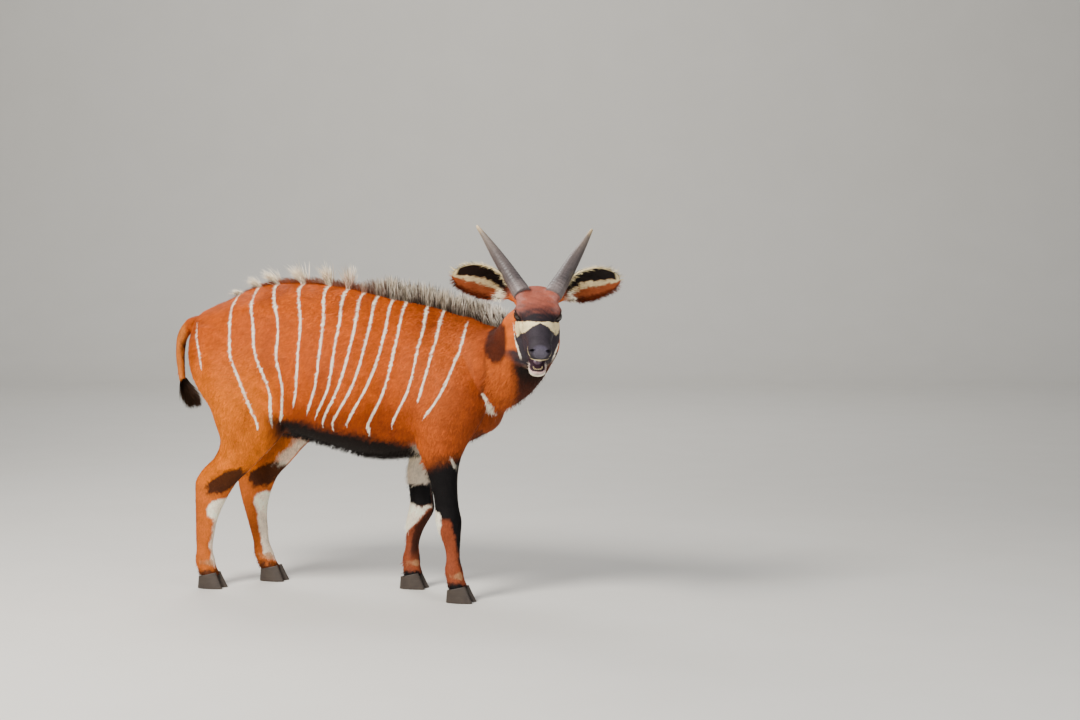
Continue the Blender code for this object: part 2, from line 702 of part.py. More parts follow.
def parting_cuts():
    """Every thin cut between two nodes of flesh."""
    cuts = [
        behind_head_slab(),
        slab(NECK_CUT, NECK_CUT_WAY, 0.30, 0.25),
        slab((-0.7745, 0.0, 1.026), (-0.72, 0.0, -0.69), 0.06, 0.05),
        slab((-0.800, 0.0, 0.818), (0.14, 0.0, -0.99), 0.05, 0.05),
    ]
    for side in (-1, 1):
        armpit = (0.0, side * math.sin(ARMPIT_SLOPE), -math.cos(ARMPIT_SLOPE))
        cuts.append(slab((0.316, side * 0.150, 0.592), armpit, 0.204, 0.135))
        groin = (0.0, side * math.sin(GROIN_SLOPE), -math.cos(GROIN_SLOPE))
        cuts.append(slab((-0.412, side * 0.150, 0.621), groin, 0.205, 0.139))
    cuts.append(slab((0.290, 0.0, KNEE_CUT), (0, 0, -1), 0.24, 0.24))
    cuts.append(slab((-0.560, 0.0, HOCK_CUT), (0, 0, -1), 0.24, 0.24))
    for leg in LEGS:
        cuts.append(slab(coronet_middle(leg), coronet_normal(), 0.09, 0.09))
    return cuts


def loose_parts(thing):
    """The closed surfaces of a mesh, each a bmesh of its own, largest first."""
    mesh = bmesh.new()
    mesh.from_mesh(thing.data)
    unseen = set(mesh.verts)
    islands = []
    while unseen:
        start = unseen.pop()
        island, edge = {start}, [start]
        while edge:
            vert = edge.pop()
            for link in vert.link_edges:
                other = link.other_vert(vert)
                if other in unseen:
                    unseen.discard(other)
                    island.add(other)
                    edge.append(other)
        islands.append(island)
    parts = []
    for island in islands:
        part = bmesh.new()
        copy = {vert: part.verts.new(vert.co) for vert in sorted(island, key=lambda v: v.index)}
        faces = {face for vert in island for face in vert.link_faces}
        for face in sorted(faces, key=lambda f: f.index):
            part.faces.new([copy[vert] for vert in face.verts])
        parts.append(part)
    mesh.free()
    parts.sort(key=lambda part: -abs(part.calc_volume()))
    return parts


def part_flesh(flesh):
    """Cuts the flesh and names each piece after the seed point nearest to its middle."""
    combine(flesh, parting_cuts(), "DIFFERENCE")
    nodes = {}
    for part in loose_parts(flesh):
        middle = sum((vert.co for vert in part.verts), Vector()) / len(part.verts)
        free = {name: place for name, place in FLESH_NODES.items() if name not in nodes}
        if not free or abs(part.calc_volume()) < SMALLEST_NODE:
            part.free()
            continue
        name = min(free, key=lambda key: (Vector(free[key]) - middle).length)
        nodes[name] = mesh_object(name, part)
    bpy.data.objects.remove(flesh)
    return nodes


def keep_largest(thing):
    """Leaves only the largest closed surface of a node."""
    parts = loose_parts(thing)
    parts[0].to_mesh(thing.data)
    for part in parts:
        part.free()


def ear_rings(side, grow=0.0):
    """Rings of an ear: an outer arc and the wall of its cup, which opens toward the face."""
    root = np.array(mirrored(EAR_ROOT, side))
    axis = np.array((-0.27, side * 0.88, 0.26))
    axis /= np.linalg.norm(axis)
    front = np.array((0.95, side * 0.22, -0.10))
    front -= axis * (front @ axis)
    front /= np.linalg.norm(front)
    across = np.cross(axis, front)
    t = np.linspace(0.0, 1.0, 13)
    half = smooth_curve(EAR_SHAPE[:, 0], EAR_SHAPE[:, 1:], t)
    rings = []
    for u, (wide, deep, hollow, bend) in zip(t, half):
        middle = root + axis * (u * EAR_LENGTH) - front * (0.020 * math.sin(math.pi * u) - bend)
        angle = np.linspace(-0.5 * math.pi, 0.5 * math.pi, 9)
        wide = wide * EAR_WIDTH / 2 + grow
        deep = deep + grow
        outer = np.outer(wide * np.sin(angle), across) - np.outer(deep * np.cos(angle), front)
        wall = min(EAR_WALL, 0.45 * wide)
        turn = angle[::-1]
        inner_wide = (wide - 0.35 * wall) * np.sin(turn)
        lip = wall * (0.35 - 0.35 * np.abs(np.sin(turn)) ** 8)
        inner_deep = (hollow * (deep - wall)) * np.cos(turn) - lip
        inner = np.outer(inner_wide * 0.965, across) - np.outer(inner_deep, front)
        rings.append(on_head(middle + np.vstack((outer, inner))))
    return rings


def strip_capped(name, rings):
    """Closed mesh through rings made of two facing arcs, whose ends close arc to arc."""
    mesh = bmesh.new()
    rows = [[mesh.verts.new(point) for point in ring] for ring in rings]
    count = len(rows[0])
    for row, following in zip(rows, rows[1:]):
        for i in range(count):
            j = (i + 1) % count
            mesh.faces.new((row[i], row[j], following[j], following[i]))
    for row in (rows[0], rows[-1]):
        for i in range(count // 2 - 1):
            mesh.faces.new((row[i], row[i + 1], row[count - 2 - i], row[count - 1 - i]))
    bmesh.ops.triangulate(mesh, faces=mesh.faces)
    bmesh.ops.recalc_face_normals(mesh, faces=mesh.faces)
    return mesh_object(name, mesh)


def horn_rings(side, grow=0.0, until=1.0, count=10):
    """Rings of a horn: a slightly bowed cone with one keel that turns round it once."""
    t = np.linspace(0.0, until, 12 if until == 1.0 else 4)
    bow = np.sin(math.pi * t)
    path = np.stack((HORN_ROOT[0] - 0.372 * t, side * (HORN_ROOT[1] + 0.160 * t + 0.010 * bow),
                     HORN_ROOT[2] + 0.036 * t + 0.022 * bow), axis=1)
    radius = HORN_RADIUS * (1 - 0.86 * t ** 1.15) + grow
    tangent = np.gradient(path, axis=0)
    tangent /= np.linalg.norm(tangent, axis=1)[:, None]
    angle = np.linspace(0.0, 2 * math.pi, count, endpoint=False)
    rings = []
    for u, point, along, thick in zip(t, path, tangent, radius):
        out = np.cross(along, (0, 0, 1))
        out /= np.linalg.norm(out)
        up = np.cross(out, along)
        keel = 1 + 0.10 * np.maximum(np.cos(angle - side * (0.6 + 4.2 * u)), 0) ** 3
        ring = point + thick * (np.outer(keel * np.cos(angle), out) + np.outer(keel * np.sin(angle), up))
        rings.append(on_head(ring))
    return rings


def tongue_rings(grow=0.0):
    table = np.array(TONGUE)
    at = np.linspace(table[0, 0] - grow, table[-1, 0] + grow, 9)
    rings = []
    for s, (top, bottom, half) in zip(at, smooth_curve(table[:, 0], table[:, 1:], at)):
        angle = np.linspace(0.0, 2 * math.pi, 10, endpoint=False)
        tall = (top - bottom) / 2 + grow
        ring = np.stack((np.full(10, s), (half + grow) * np.cos(angle),
                         (top + bottom) / 2 + tall * np.sin(angle)), axis=1)
        rings.append(on_head(opened(ring)))
    return rings


def tooth_row():
    """The lower front teeth: one upright plate round the jaw's end, notched between the teeth."""
    turn = np.linspace(-1.0, 1.0, 4 * TOOTH_COUNT + 1)
    notch = np.abs(np.cos((turn + 1) * TOOTH_COUNT * math.pi / 2)) ** 4
    rings = []
    for u, cut in zip(turn, notch):
        across = 0.0180 * math.sin(u * math.pi / 2)
        along = 0.3350 - 0.0115 * u ** 2
        top = -0.0880 - 0.0020 * cut
        ring = [(along + 0.0022, across, -0.1035), (along + 0.0052, across, top),
                (along + 0.0030, across, top), (along - 0.0022, across, -0.1035)]
        rings.append(on_head(opened(np.array(ring))))
    return lofted("teeth", rings)


def hoof_rings(leg, spread):
    """Level sections of one claw, pointed at the toe, cut off by the coronet's slope."""
    side, table, step = LEGS[leg]
    middle = coronet_middle(leg)
    normal = coronet_normal()
    angle = np.linspace(0.0, 2 * math.pi, 14, endpoint=False)
    rings = []
    for u in (0.0, 0.10, 0.55, 1.0):
        heel = -0.040 + 0.004 * u + (0.002 if u == 0.0 else 0.0)
        toe = (HOOF_LENGTH - 0.040) * (1 - u) + 0.037 * u - 0.006 * u * (1 - u) - (0.002 if u == 0.0 else 0.0)
        half = HOOF_WIDTH / 2 * (1.0 - 0.14 * u)
        along = (heel + toe) / 2 + (toe - heel) / 2 * np.cos(angle)
        point = np.clip((along - heel) / (toe - heel), 0, 1)
        across = half * np.sign(np.sin(angle)) * np.abs(np.sin(angle)) ** 0.75 * (1 - 0.38 * point ** 2.5)
        across = np.where(np.sign(across) != spread, across * 0.82, across)
        centre_y = spread * (HOOF_WIDTH / 2 - 0.0015 + 0.0035 * (1 - u) * (0.4 + point))
        top = CORONET_HEIGHT - GAP - along * normal[0] / normal[2]
        rings.append(np.stack((middle[0] + along, middle[1] + centre_y + across, u * top), axis=1))
    return rings


def dewclaws(leg):
    """The two small horny claws behind a fetlock, each a blunt cone that leans back."""
    side, table, step = LEGS[leg]
    rear = table[-4][1] + (float(np.interp(0.09, *np.array(step).T)) if step else 0.0)
    cones = []
    for spread in (-1, 1):
        rings = []
        for drop, back, radius in ((-0.012, -0.010, 0.0075), (0.002, 0.002, 0.0105), (0.014, 0.008, 0.0085),
                                   (0.022, 0.010, 0.0040)):
            angle = np.linspace(0.0, 2 * math.pi, 8, endpoint=False)
            middle = (rear - back + 0.004, side * table[-4][3] + spread * 0.0165, 0.094 - drop)
            ring = np.stack((middle[0] + radius * np.cos(angle), middle[1] + radius * np.sin(angle),
                             np.full(8, middle[2])), axis=1)
            rings.append(ring)
        cones.append(lofted("dewclaw", rings))
    return cones


def lock_mesh(root, grow_way, bend_way, length, width, thick, sink, rings=3):
    """Flat tapered lock: rings of six points along a path that bends in the lock's own plane."""
    root, grow_way, bend_way = (np.array(v, float) for v in (root, grow_way, bend_way))
    side = np.cross(grow_way, bend_way)
    side /= np.linalg.norm(side)
    angle = np.linspace(0.0, 2 * math.pi, 6, endpoint=False)
    rows = []
    total = length + sink
    for t in np.linspace(0.0, 1.0, rings + 1)[:-1]:
        way = grow_way * (1 - 0.5 * t) + bend_way * t
        middle = root - grow_way * sink + total * (grow_way * (t - 0.32 * t ** 2) + bend_way * 0.45 * t ** 2)
        front = np.cross(side, way)
        front /= np.linalg.norm(front)
        swell = (1 - t) ** 0.5 * (0.85 + 0.6 * t)
        ring = middle + np.outer(width / 2 * swell * np.cos(angle), front)
        rows.append(ring + np.outer(thick / 2 * (1 - 0.6 * t) * np.sin(angle), side))
    tip = root - grow_way * sink + total * (grow_way * 0.68 + bend_way * 0.45)
    mesh = bmesh.new()
    verts = [[mesh.verts.new(point) for point in row] for row in rows]
    for row, following in zip(verts, verts[1:]):
        for i in range(6):
            j = (i + 1) % 6
            mesh.faces.new((row[i], row[j], following[j], following[i]))
    end = mesh.verts.new(tip)
    for i in range(6):
        mesh.faces.new((verts[-1][i], verts[-1][(i + 1) % 6], end))
    mesh.faces.new(verts[0])
    bmesh.ops.triangulate(mesh, faces=mesh.faces)
    bmesh.ops.recalc_face_normals(mesh, faces=mesh.faces)
    return mesh_object("lock", mesh)


def crest_line():
    """Points along the top of the back and the nape, with the way the back runs at each."""
    nape = np.array([ring[RING_POINTS // 4] for ring in neck_rings()])
    nape = nape[(nape[:, 0] > 0.50) & (nape[:, 0] < CREST_TO_X)]
    table = np.array(TRUNK)
    x_values = np.linspace(CREST_FROM_X, 0.48, 50)
    top = smooth_curve(table[:, 0], table[:, 1], x_values)
    line = np.vstack((np.stack((x_values, np.zeros(50), top), axis=1), nape))
    along = np.concatenate(([0.0], np.cumsum(np.linalg.norm(np.diff(line, axis=0), axis=1))))
    return along, line


def crest_locks(nodes):
    """Locks of the crest, in rows side by side, sorted by the node that they grow from."""
    along, line = crest_line()
    dice = random.Random(7)
    locks = {"torso": [], "neck": []}
    trees = {name: surface_tree(nodes[name]) for name in locks}
    for row in range(CREST_ROWS):
        for i in range(CREST_LOCKS):
            at = (i + 0.5 * row + 0.15 * dice.random()) / CREST_LOCKS * along[-1]
            place = np.array([np.interp(at, along, line[:, k]) for k in range(3)])
            ahead = np.array([np.interp(at + 0.02, along, line[:, k]) for k in range(3)]) - place
            ahead /= max(np.linalg.norm(ahead), 1e-6)
            aside = np.cross((0, 0, 1), ahead)
            aside /= np.linalg.norm(aside)
            place = place + aside * (row - (CREST_ROWS - 1) / 2) * CREST_ROW_GAP
            hits = {}
            for name, tree in trees.items():
                hit = tree.ray_cast(Vector((place[0], place[1], 2.0)), Vector((0, 0, -1)))
                if hit[0] is not None:
                    hits[name] = hit
            if not hits:
                continue
            name = max(hits, key=lambda key: hits[key][0].z)
            root, normal = np.array(hits[name][0]), np.array(hits[name][1])
            share = at / along[-1]
            length = np.interp(share, CREST_LENGTH[:, 0], CREST_LENGTH[:, 1]) * (0.85 + 0.3 * dice.random())
            splay = (row - (CREST_ROWS - 1) / 2) * 0.35 + 0.16 * (dice.random() - 0.5)
            grow = normal * 0.75 + np.array((0, 0, 0.5)) + aside * splay - ahead * 0.35
            grow /= np.linalg.norm(grow)
            back = -ahead * math.sin(CREST_LEAN) + np.array((0, 0, 1)) * math.cos(CREST_LEAN)
            back = back + aside * 0.5 * splay - ahead * 0.4
            back /= np.linalg.norm(back)
            locks[name].append((root, grow, back, length))
    return locks


def surface_tree(thing):
    mesh = bmesh.new()
    mesh.from_mesh(thing.data)
    tree = BVHTree.FromBMesh(mesh)
    mesh.free()
    return tree


def grow_crest(nodes):
    """Fuses the crest's locks into the torso and the neck."""
    cut_middle = Vector(NECK_CUT)
    cut_normal = Vector(NECK_CUT_WAY).normalized()
    for name, rows in crest_locks(nodes).items():
        locks = []
        for root, grow, back, length in rows:
            from_cut = (Vector(root) - cut_middle).dot(cut_normal)
            if abs(from_cut) < 0.030 or (name == "torso" and 0 < -from_cut < 0.03):
                continue
            if name == "neck" and from_cut < length + 0.02:
                length = max(from_cut - 0.02, 0.02)
            locks.append(lock_mesh(root, grow, back, length, CREST_LOCK_WIDTH, CREST_LOCK_THICK, 0.012))
        if locks:
            combine(nodes[name], locks, "UNION")
            keep_largest(nodes[name])


def tail_tuft():
    """The tuft: a core below the end of the tail with locks that hang and curve forward."""
    core = [((-0.7995, 0.0, 0.8172), 0.0150, 0.0170), ((-0.796, 0.0, 0.800), 0.0170, 0.0190),
            ((-0.786, 0.0, 0.770), 0.0160, 0.0185), ((-0.772, 0.0, 0.742), 0.0080, 0.0090)]
    rings = []
    for middle, deep, wide in core:
        rings.append(section(middle, (0, 1, 0), (0.99, 0, 0.14), wide, deep, deep))
    tuft = lofted("tail_tuft", [ring[::4] for ring in rings])
    dice = random.Random(11)
    locks = []
    for tier, (height, count, length) in enumerate(((0.800, 6, 0.085), (0.778, 6, 0.080), (0.758, 5, 0.070))):
        middle_x = -0.796 + (0.800 - height) * 0.45
        for i in range(count):
            turn = (i + 0.5 * (tier % 2)) / count * 2 * math.pi
            out = np.array((math.cos(turn), math.sin(turn), 0.0))
            root = np.array((middle_x, 0, height)) + out * 0.011
            grow = out * 0.45 + np.array((0.12, 0, -1.0))
            bend = np.array((0.62, 0, -0.72)) + out * 0.10
            grow /= np.linalg.norm(grow)
            bend /= np.linalg.norm(bend)
            reach = length * (0.85 + 0.3 * dice.random())
            locks.append(lock_mesh(root, grow, bend, reach, 0.024, 0.011, 0.006))
    combine(tuft, locks, "UNION")
    keep_largest(tuft)
    return tuft


def finish_head(head):
    """Adds the lids, lips and lower teeth to the head, then cuts its pits and sockets."""
    details = [lofted("upper_lip", lip_rings(jaw=False)), lofted("lower_lip", lip_rings(jaw=True))]
    details.append(tooth_row())
    for side in (-1, 1):
        details += [lofted("lid", lid_rings(side, True)), lofted("lid", lid_rings(side, False))]
    combine(head, details, "UNION")
    holes = [lofted("tongue_bed", tongue_rings(GAP))]
    for side in (-1, 1):
        reach = EYE_RADIUS + GAP
        holes += [
            head_ball("eye_socket", mirrored(EYE_PLACE, side), (reach, reach, reach), 16),
            lofted("nostril", nostril_rings(side)),
            lofted("horn_socket", [horn_base_ring(side, GAP)] + horn_rings(side, GAP, 0.30)[1:]),
            lofted("ear_socket", ear_socket_rings(side)),
        ]
    combine(head, holes, "DIFFERENCE")
    keep_largest(head)


def horn_base_ring(side, grow):
    """First ring of a horn's socket, as far below the horn's own end as the gap."""
    first, second = horn_rings(side, grow, 0.30)[:2]
    way = (first - second).mean(axis=0)
    return first + way / np.linalg.norm(way) * grow


def ear_socket_rings(side):
    """The bed of an ear's root, a little wider than the root all round."""
    rings = ear_rings(side, GAP)
    way = (rings[0] - rings[1]).mean(axis=0)
    start = rings[0] + way / np.linalg.norm(way) * GAP
    return [start] + rings[1:6]


def add_material(thing, name):
    colour, roughness = FINISHES[name]
    finish = bpy.data.materials.new(f"{thing.name}_{name}")
    finish.use_nodes = True
    shader = finish.node_tree.nodes["Principled BSDF"]
    shader.inputs["Base Color"].default_value = (*colour, 1.0)
    shader.inputs["Roughness"].default_value = roughness
    finish.diffuse_color = (*colour, 1.0)
    thing.data.materials.clear()
    thing.data.materials.append(finish)


def move_to_origin(things):
    """Moves the model so that the middle of the bottom of its box is the origin."""
    corners = np.vstack([vertex_array(thing.data) for thing in things])
    low, high = corners.min(axis=0), corners.max(axis=0)
    shift = -Vector(((low[0] + high[0]) / 2, (low[1] + high[1]) / 2, low[2]))
    for thing in things:
        thing.data.transform(Matrix.Translation(shift))
        thing.data.update()
    return shift


def main():
    for thing in list(bpy.data.objects):
        bpy.data.objects.remove(thing)
    nodes = part_flesh(fused_flesh())
    finish_head(nodes["head"])
    grow_crest(nodes)
    for leg in LEGS:
        combine(nodes[f"{leg}_lower"], dewclaws(leg), "UNION")
        keep_largest(nodes[f"{leg}_lower"])
    for thing in nodes.values():
        add_material(thing, "coat")
    for label, side in SIDES.items():
        eye = head_ball(f"eye_{label}", mirrored(EYE_PLACE, side), (EYE_RADIUS,) * 3, 16)
        ear = strip_capped(f"ear_{label}", ear_rings(side))
        horn = lofted(f"horn_{label}", horn_rings(side))
        for thing, finish in ((eye, "eye"), (ear, "coat"), (horn, "horn")):
            add_material(thing, finish)
            nodes[thing.name] = thing
    tongue = lofted("tongue", tongue_rings())
    add_material(tongue, "tongue")
    nodes["tongue"] = tongue
    tuft = tail_tuft()
    add_material(tuft, "dark_hair")
    nodes["tail_tuft"] = tuft
    for leg in LEGS:
        for claw, spread in (("outer", LEGS[leg][0]), ("inner", -LEGS[leg][0])):
            hoof = lofted(f"hoof_{leg}_{claw}", hoof_rings(leg, spread))
            add_material(hoof, "hoof")
            nodes[hoof.name] = hoof
    for thing in nodes.values():
        thing.data.shade_smooth()
        thing.data.set_sharp_from_angle(angle=math.radians(50))
    return move_to_origin(list(nodes.values()))


moved = main()
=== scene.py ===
# A young bongo antelope that stands side-on and turns its open-mouthed face to the viewer.
# Everything is worked out in the animal's own frame: +x ahead, +y to its left, z up from the
# hooves, metres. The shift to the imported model's origin is added when a mesh is written.
import math
import time

import bmesh
import bpy
import numpy as np
from mathutils import Matrix, Vector


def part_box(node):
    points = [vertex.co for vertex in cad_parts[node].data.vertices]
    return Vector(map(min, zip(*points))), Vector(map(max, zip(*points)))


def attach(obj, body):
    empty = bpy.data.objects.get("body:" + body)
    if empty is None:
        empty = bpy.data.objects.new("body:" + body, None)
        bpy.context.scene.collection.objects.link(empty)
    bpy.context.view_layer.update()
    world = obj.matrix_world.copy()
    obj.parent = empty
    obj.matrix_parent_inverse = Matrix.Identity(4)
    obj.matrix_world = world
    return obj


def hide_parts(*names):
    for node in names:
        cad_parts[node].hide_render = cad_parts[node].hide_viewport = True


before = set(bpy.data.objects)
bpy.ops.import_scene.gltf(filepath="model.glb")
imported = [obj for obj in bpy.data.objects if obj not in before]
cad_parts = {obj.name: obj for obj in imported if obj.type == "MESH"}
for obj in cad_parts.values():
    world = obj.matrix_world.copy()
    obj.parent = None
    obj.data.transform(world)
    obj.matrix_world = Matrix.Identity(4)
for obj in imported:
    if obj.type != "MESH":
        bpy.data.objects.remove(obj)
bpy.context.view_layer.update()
startTime = time.time()


def report(words):
    print(f"[{time.time() - startTime:5.1f} s] {words}")


# the head's own frame: s along the face from the poll, w to the animal's left, h up off the brow
head = {
    "poll": (0.770, -0.210, 1.240),
    "pitch": 34.0,
    "turn": -69.3,
    "roll": -2.2,
    "jawHinge": (0.085, -0.085),
    "jawOpen": 15.0,
    "eye": (0.153, 0.0660, -0.0450),
    "eyeWay": (0.52, 0.84, 0.12),
    "eyeRadius": 0.0210,
    "earRoot": (0.013, 0.0735, -0.0780),
    "earWay": (-0.27, 0.88, 0.26),
    "earLength": 0.252,
    "earWidth": 0.162,
    "hornRoot": (0.060, 0.0610, -0.0100),
    "hornRadius": 0.0315,
}
headMatrix = np.array(
    Matrix.Rotation(math.radians(head["turn"]), 3, "Z")
    @ Matrix.Rotation(math.radians(head["pitch"]), 3, "Y")
    @ Matrix.Rotation(math.radians(head["roll"]), 3, "X")
)


def onHead(points):  # head frame to animal frame
    return np.asarray(points, float) @ headMatrix.T + np.array(head["poll"])


def inHead(points):  # animal frame to head frame
    return (np.asarray(points, float) - np.array(head["poll"])) @ headMatrix


def openJaw(points, way=1):  # turns jaw points, given with the mouth shut, about the hinge
    a = way * math.radians(head["jawOpen"])
    s0, h0 = head["jawHinge"]
    points = np.array(points, float)
    s, h = points[..., 0] - s0, points[..., 2] - h0
    points[..., 0] = s0 + s * math.cos(a) + h * math.sin(a)
    points[..., 2] = h0 - s * math.sin(a) + h * math.cos(a)
    return points


def closeJaw(points):  # the opposite turn, for finding where on the shut jaw a point lies
    return openJaw(points, -1)


def mirrored(place, side):  # side 1 keeps a place, side -1 moves it across the middle
    return np.array((place[0], side * place[1], place[2]))


def unit(v):
    v = np.asarray(v, float)
    return v / np.maximum(np.linalg.norm(v, axis=-1, keepdims=True), 1e-9)


def rampUp(x, low, high):  # 0 below low, 1 above high, a cubic ease between
    u = np.clip((x - low) / (high - low), 0, 1)
    return u * u * (3 - 2 * u)


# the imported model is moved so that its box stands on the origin; an eye tells by how much
eyeBox = np.array(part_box("eye_left"), float)
shift = eyeBox.mean(axis=0) - onHead([mirrored(head["eye"], 1)])[0]


def smoothCurve(knots, values, at):  # cubic through the knots, slopes from each knot's neighbours
    knots, values = np.asarray(knots, float), np.asarray(values, float)
    slopes = np.gradient(values, knots, axis=0)
    at = np.clip(at, knots[0], knots[-1])
    low = np.clip(np.searchsorted(knots, at, side="right") - 1, 0, len(knots) - 2)
    span = knots[low + 1] - knots[low]
    u = (at - knots[low]) / span
    if values.ndim > 1:
        u, span = u[:, None], span[:, None]
    rise = (1 + 2 * u) * (1 - u) ** 2 * values[low] + u**2 * (3 - 2 * u) * values[low + 1]
    return rise + (u * (1 - u) ** 2 * slopes[low] - u**2 * (1 - u) * slopes[low + 1]) * span


def rowsAt(table, at):  # the columns of a table after its first, at values of the first
    table = np.asarray(table, float)
    return smoothCurve(table[:, 0], table[:, 1:], at).T


# A section is a superellipse: across = half * |cos|^(2/p), rise = half * |sin|^(2/p), with its own
# power p above and below; rows of sections make a grid of (rows, points round, 3).
def sections(middle, side, up, halfSide, halfUp, halfDown, powerUp=2.0, powerDown=2.2, count=48):
    angle = np.linspace(0, 2 * math.pi, count, endpoint=False)
    powerUp = np.broadcast_to(powerUp, halfSide.shape)[:, None]
    power = np.where(np.sin(angle) > 0, powerUp, powerDown)
    across = np.sign(np.cos(angle)) * np.abs(np.cos(angle)) ** (2 / power)
    rise = np.sign(np.sin(angle)) * np.abs(np.sin(angle)) ** (2 / power)
    rise = rise * np.where(np.sin(angle) > 0, halfUp[:, None], halfDown[:, None])
    side, up = np.broadcast_to(side, middle.shape), np.broadcast_to(up, middle.shape)
    across = (across * halfSide[:, None])[..., None] * side[:, None]
    return middle[:, None] + across + rise[..., None] * up[:, None]


# A tube: rings of a circle carried along a path, each square to the path's direction.
def tube(path, radius):
    along = unit(np.gradient(path, axis=0))
    side = unit(np.cross(along, (0, 0, 1)))
    up = np.cross(side, along)
    angle = np.linspace(0, 2 * math.pi, 16, endpoint=False)[None, :, None]
    ring = np.cos(angle) * side[:, None] + np.sin(angle) * up[:, None]
    return path[:, None] + radius[:, None, None] * ring


# An ellipsoid: a grid of rings, each radius times sin of the polar angle.
def ball(middle, radii, turn=None, count=24):
    polar = np.linspace(0.02, math.pi - 0.02, count)[:, None]
    angle = np.linspace(0, 2 * math.pi, 2 * count, endpoint=False)[None, :]
    grid = np.stack((np.sin(polar) * np.cos(angle), np.sin(polar) * np.sin(angle),
                     np.cos(polar) + 0 * angle), axis=-1) * np.array(radii)
    if turn is not None:
        grid = grid @ np.asarray(turn).T
    return grid + np.asarray(middle, float)


def headBall(place, radii):
    return ball(onHead([place])[0], radii, headMatrix)


# A closed skin over a grid of rings: quads between the rows and a fan at each end.
def gridFaces(grid, start):
    rows, count = grid.shape[:2]
    i, j = np.meshgrid(np.arange(rows - 1), np.arange(count), indexing="ij")
    k = (j + 1) % count
    quads = np.stack((i * count + j, i * count + k, (i + 1) * count + k, (i + 1) * count + j), axis=-1)
    verts = np.vstack((grid.reshape(-1, 3), grid[0].mean(axis=0), grid[-1].mean(axis=0)))
    ring = np.arange(count)
    nextRing = (ring + 1) % count
    top = (rows - 1) * count
    first = np.stack((nextRing, ring, np.full(count, rows * count)), axis=1)
    last = np.stack((top + ring, top + nextRing, np.full(count, rows * count + 1)), axis=1)
    faces = [(part + start).tolist() for part in (quads.reshape(-1, 4), first, last)]
    return verts, faces[0] + faces[1] + faces[2]


# One object from several closed grids, its faces turned outwards grid by grid.
def meshFromGrids(name, grids):
    allVerts, allFaces, start = [], [], 0
    for grid in grids:
        along = grid[1:].mean(axis=(0, 1)) - grid[:-1].mean(axis=(0, 1))
        ring = grid[len(grid) // 2]
        turning = np.cross(ring[1] - ring[0], ring[len(ring) // 4] - ring[0])
        if np.dot(turning, along) < 0:
            grid = grid[:, ::-1]
        verts, faces = gridFaces(grid, start)
        allVerts.append(verts)
        allFaces += faces
        start += len(verts)
    return meshFromArrays(name, np.vstack(allVerts), allFaces)


def meshFromArrays(name, verts, faces):
    data = bpy.data.meshes.new(name)
    data.from_pydata(verts.tolist(), [], faces)
    data.update()
    thing = bpy.data.objects.new(name, data)
    bpy.context.scene.collection.objects.link(thing)
    return thing


def outwards(thing):  # normals recalculated to face out
    mesh = bmesh.new()
    mesh.from_mesh(thing.data)
    bmesh.ops.recalc_face_normals(mesh, faces=mesh.faces)
    mesh.to_mesh(thing.data)
    mesh.free()
    return thing


def points(thing, what="co"):
    values = np.empty(len(thing.data.vertices) * 3, np.float32)
    thing.data.vertices.foreach_get(what, values)
    return values.reshape(-1, 3).astype(float)


def setPoints(thing, values):
    thing.data.vertices.foreach_set("co", np.asarray(values, np.float32).ravel())
    thing.data.update()


def bake(thing):  # the object's mesh becomes its evaluated one, without its modifiers
    bpy.context.view_layer.update()
    data = bpy.data.meshes.new_from_object(thing.evaluated_get(bpy.context.evaluated_depsgraph_get()))
    old = thing.data
    thing.modifiers.clear()
    thing.data = data
    bpy.data.meshes.remove(old)


def weightGroup(thing, name, weights):  # a vertex group in steps of a tenth
    group = thing.vertex_groups.new(name=name)
    steps = np.round(weights, 1)
    for level in np.unique(steps):
        group.add(np.nonzero(steps == level)[0].tolist(), float(level), "REPLACE")


def smoothShade(thing, material):
    thing.data.polygons.foreach_set("use_smooth", [True] * len(thing.data.polygons))
    thing.data.materials.clear()
    thing.data.materials.append(material)


def place(thing, material, slotName, nodes=()):  # last step of every piece
    setPoints(thing, points(thing) + shift)
    smoothShade(thing, material)
    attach(thing, "root")
    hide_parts(*nodes)


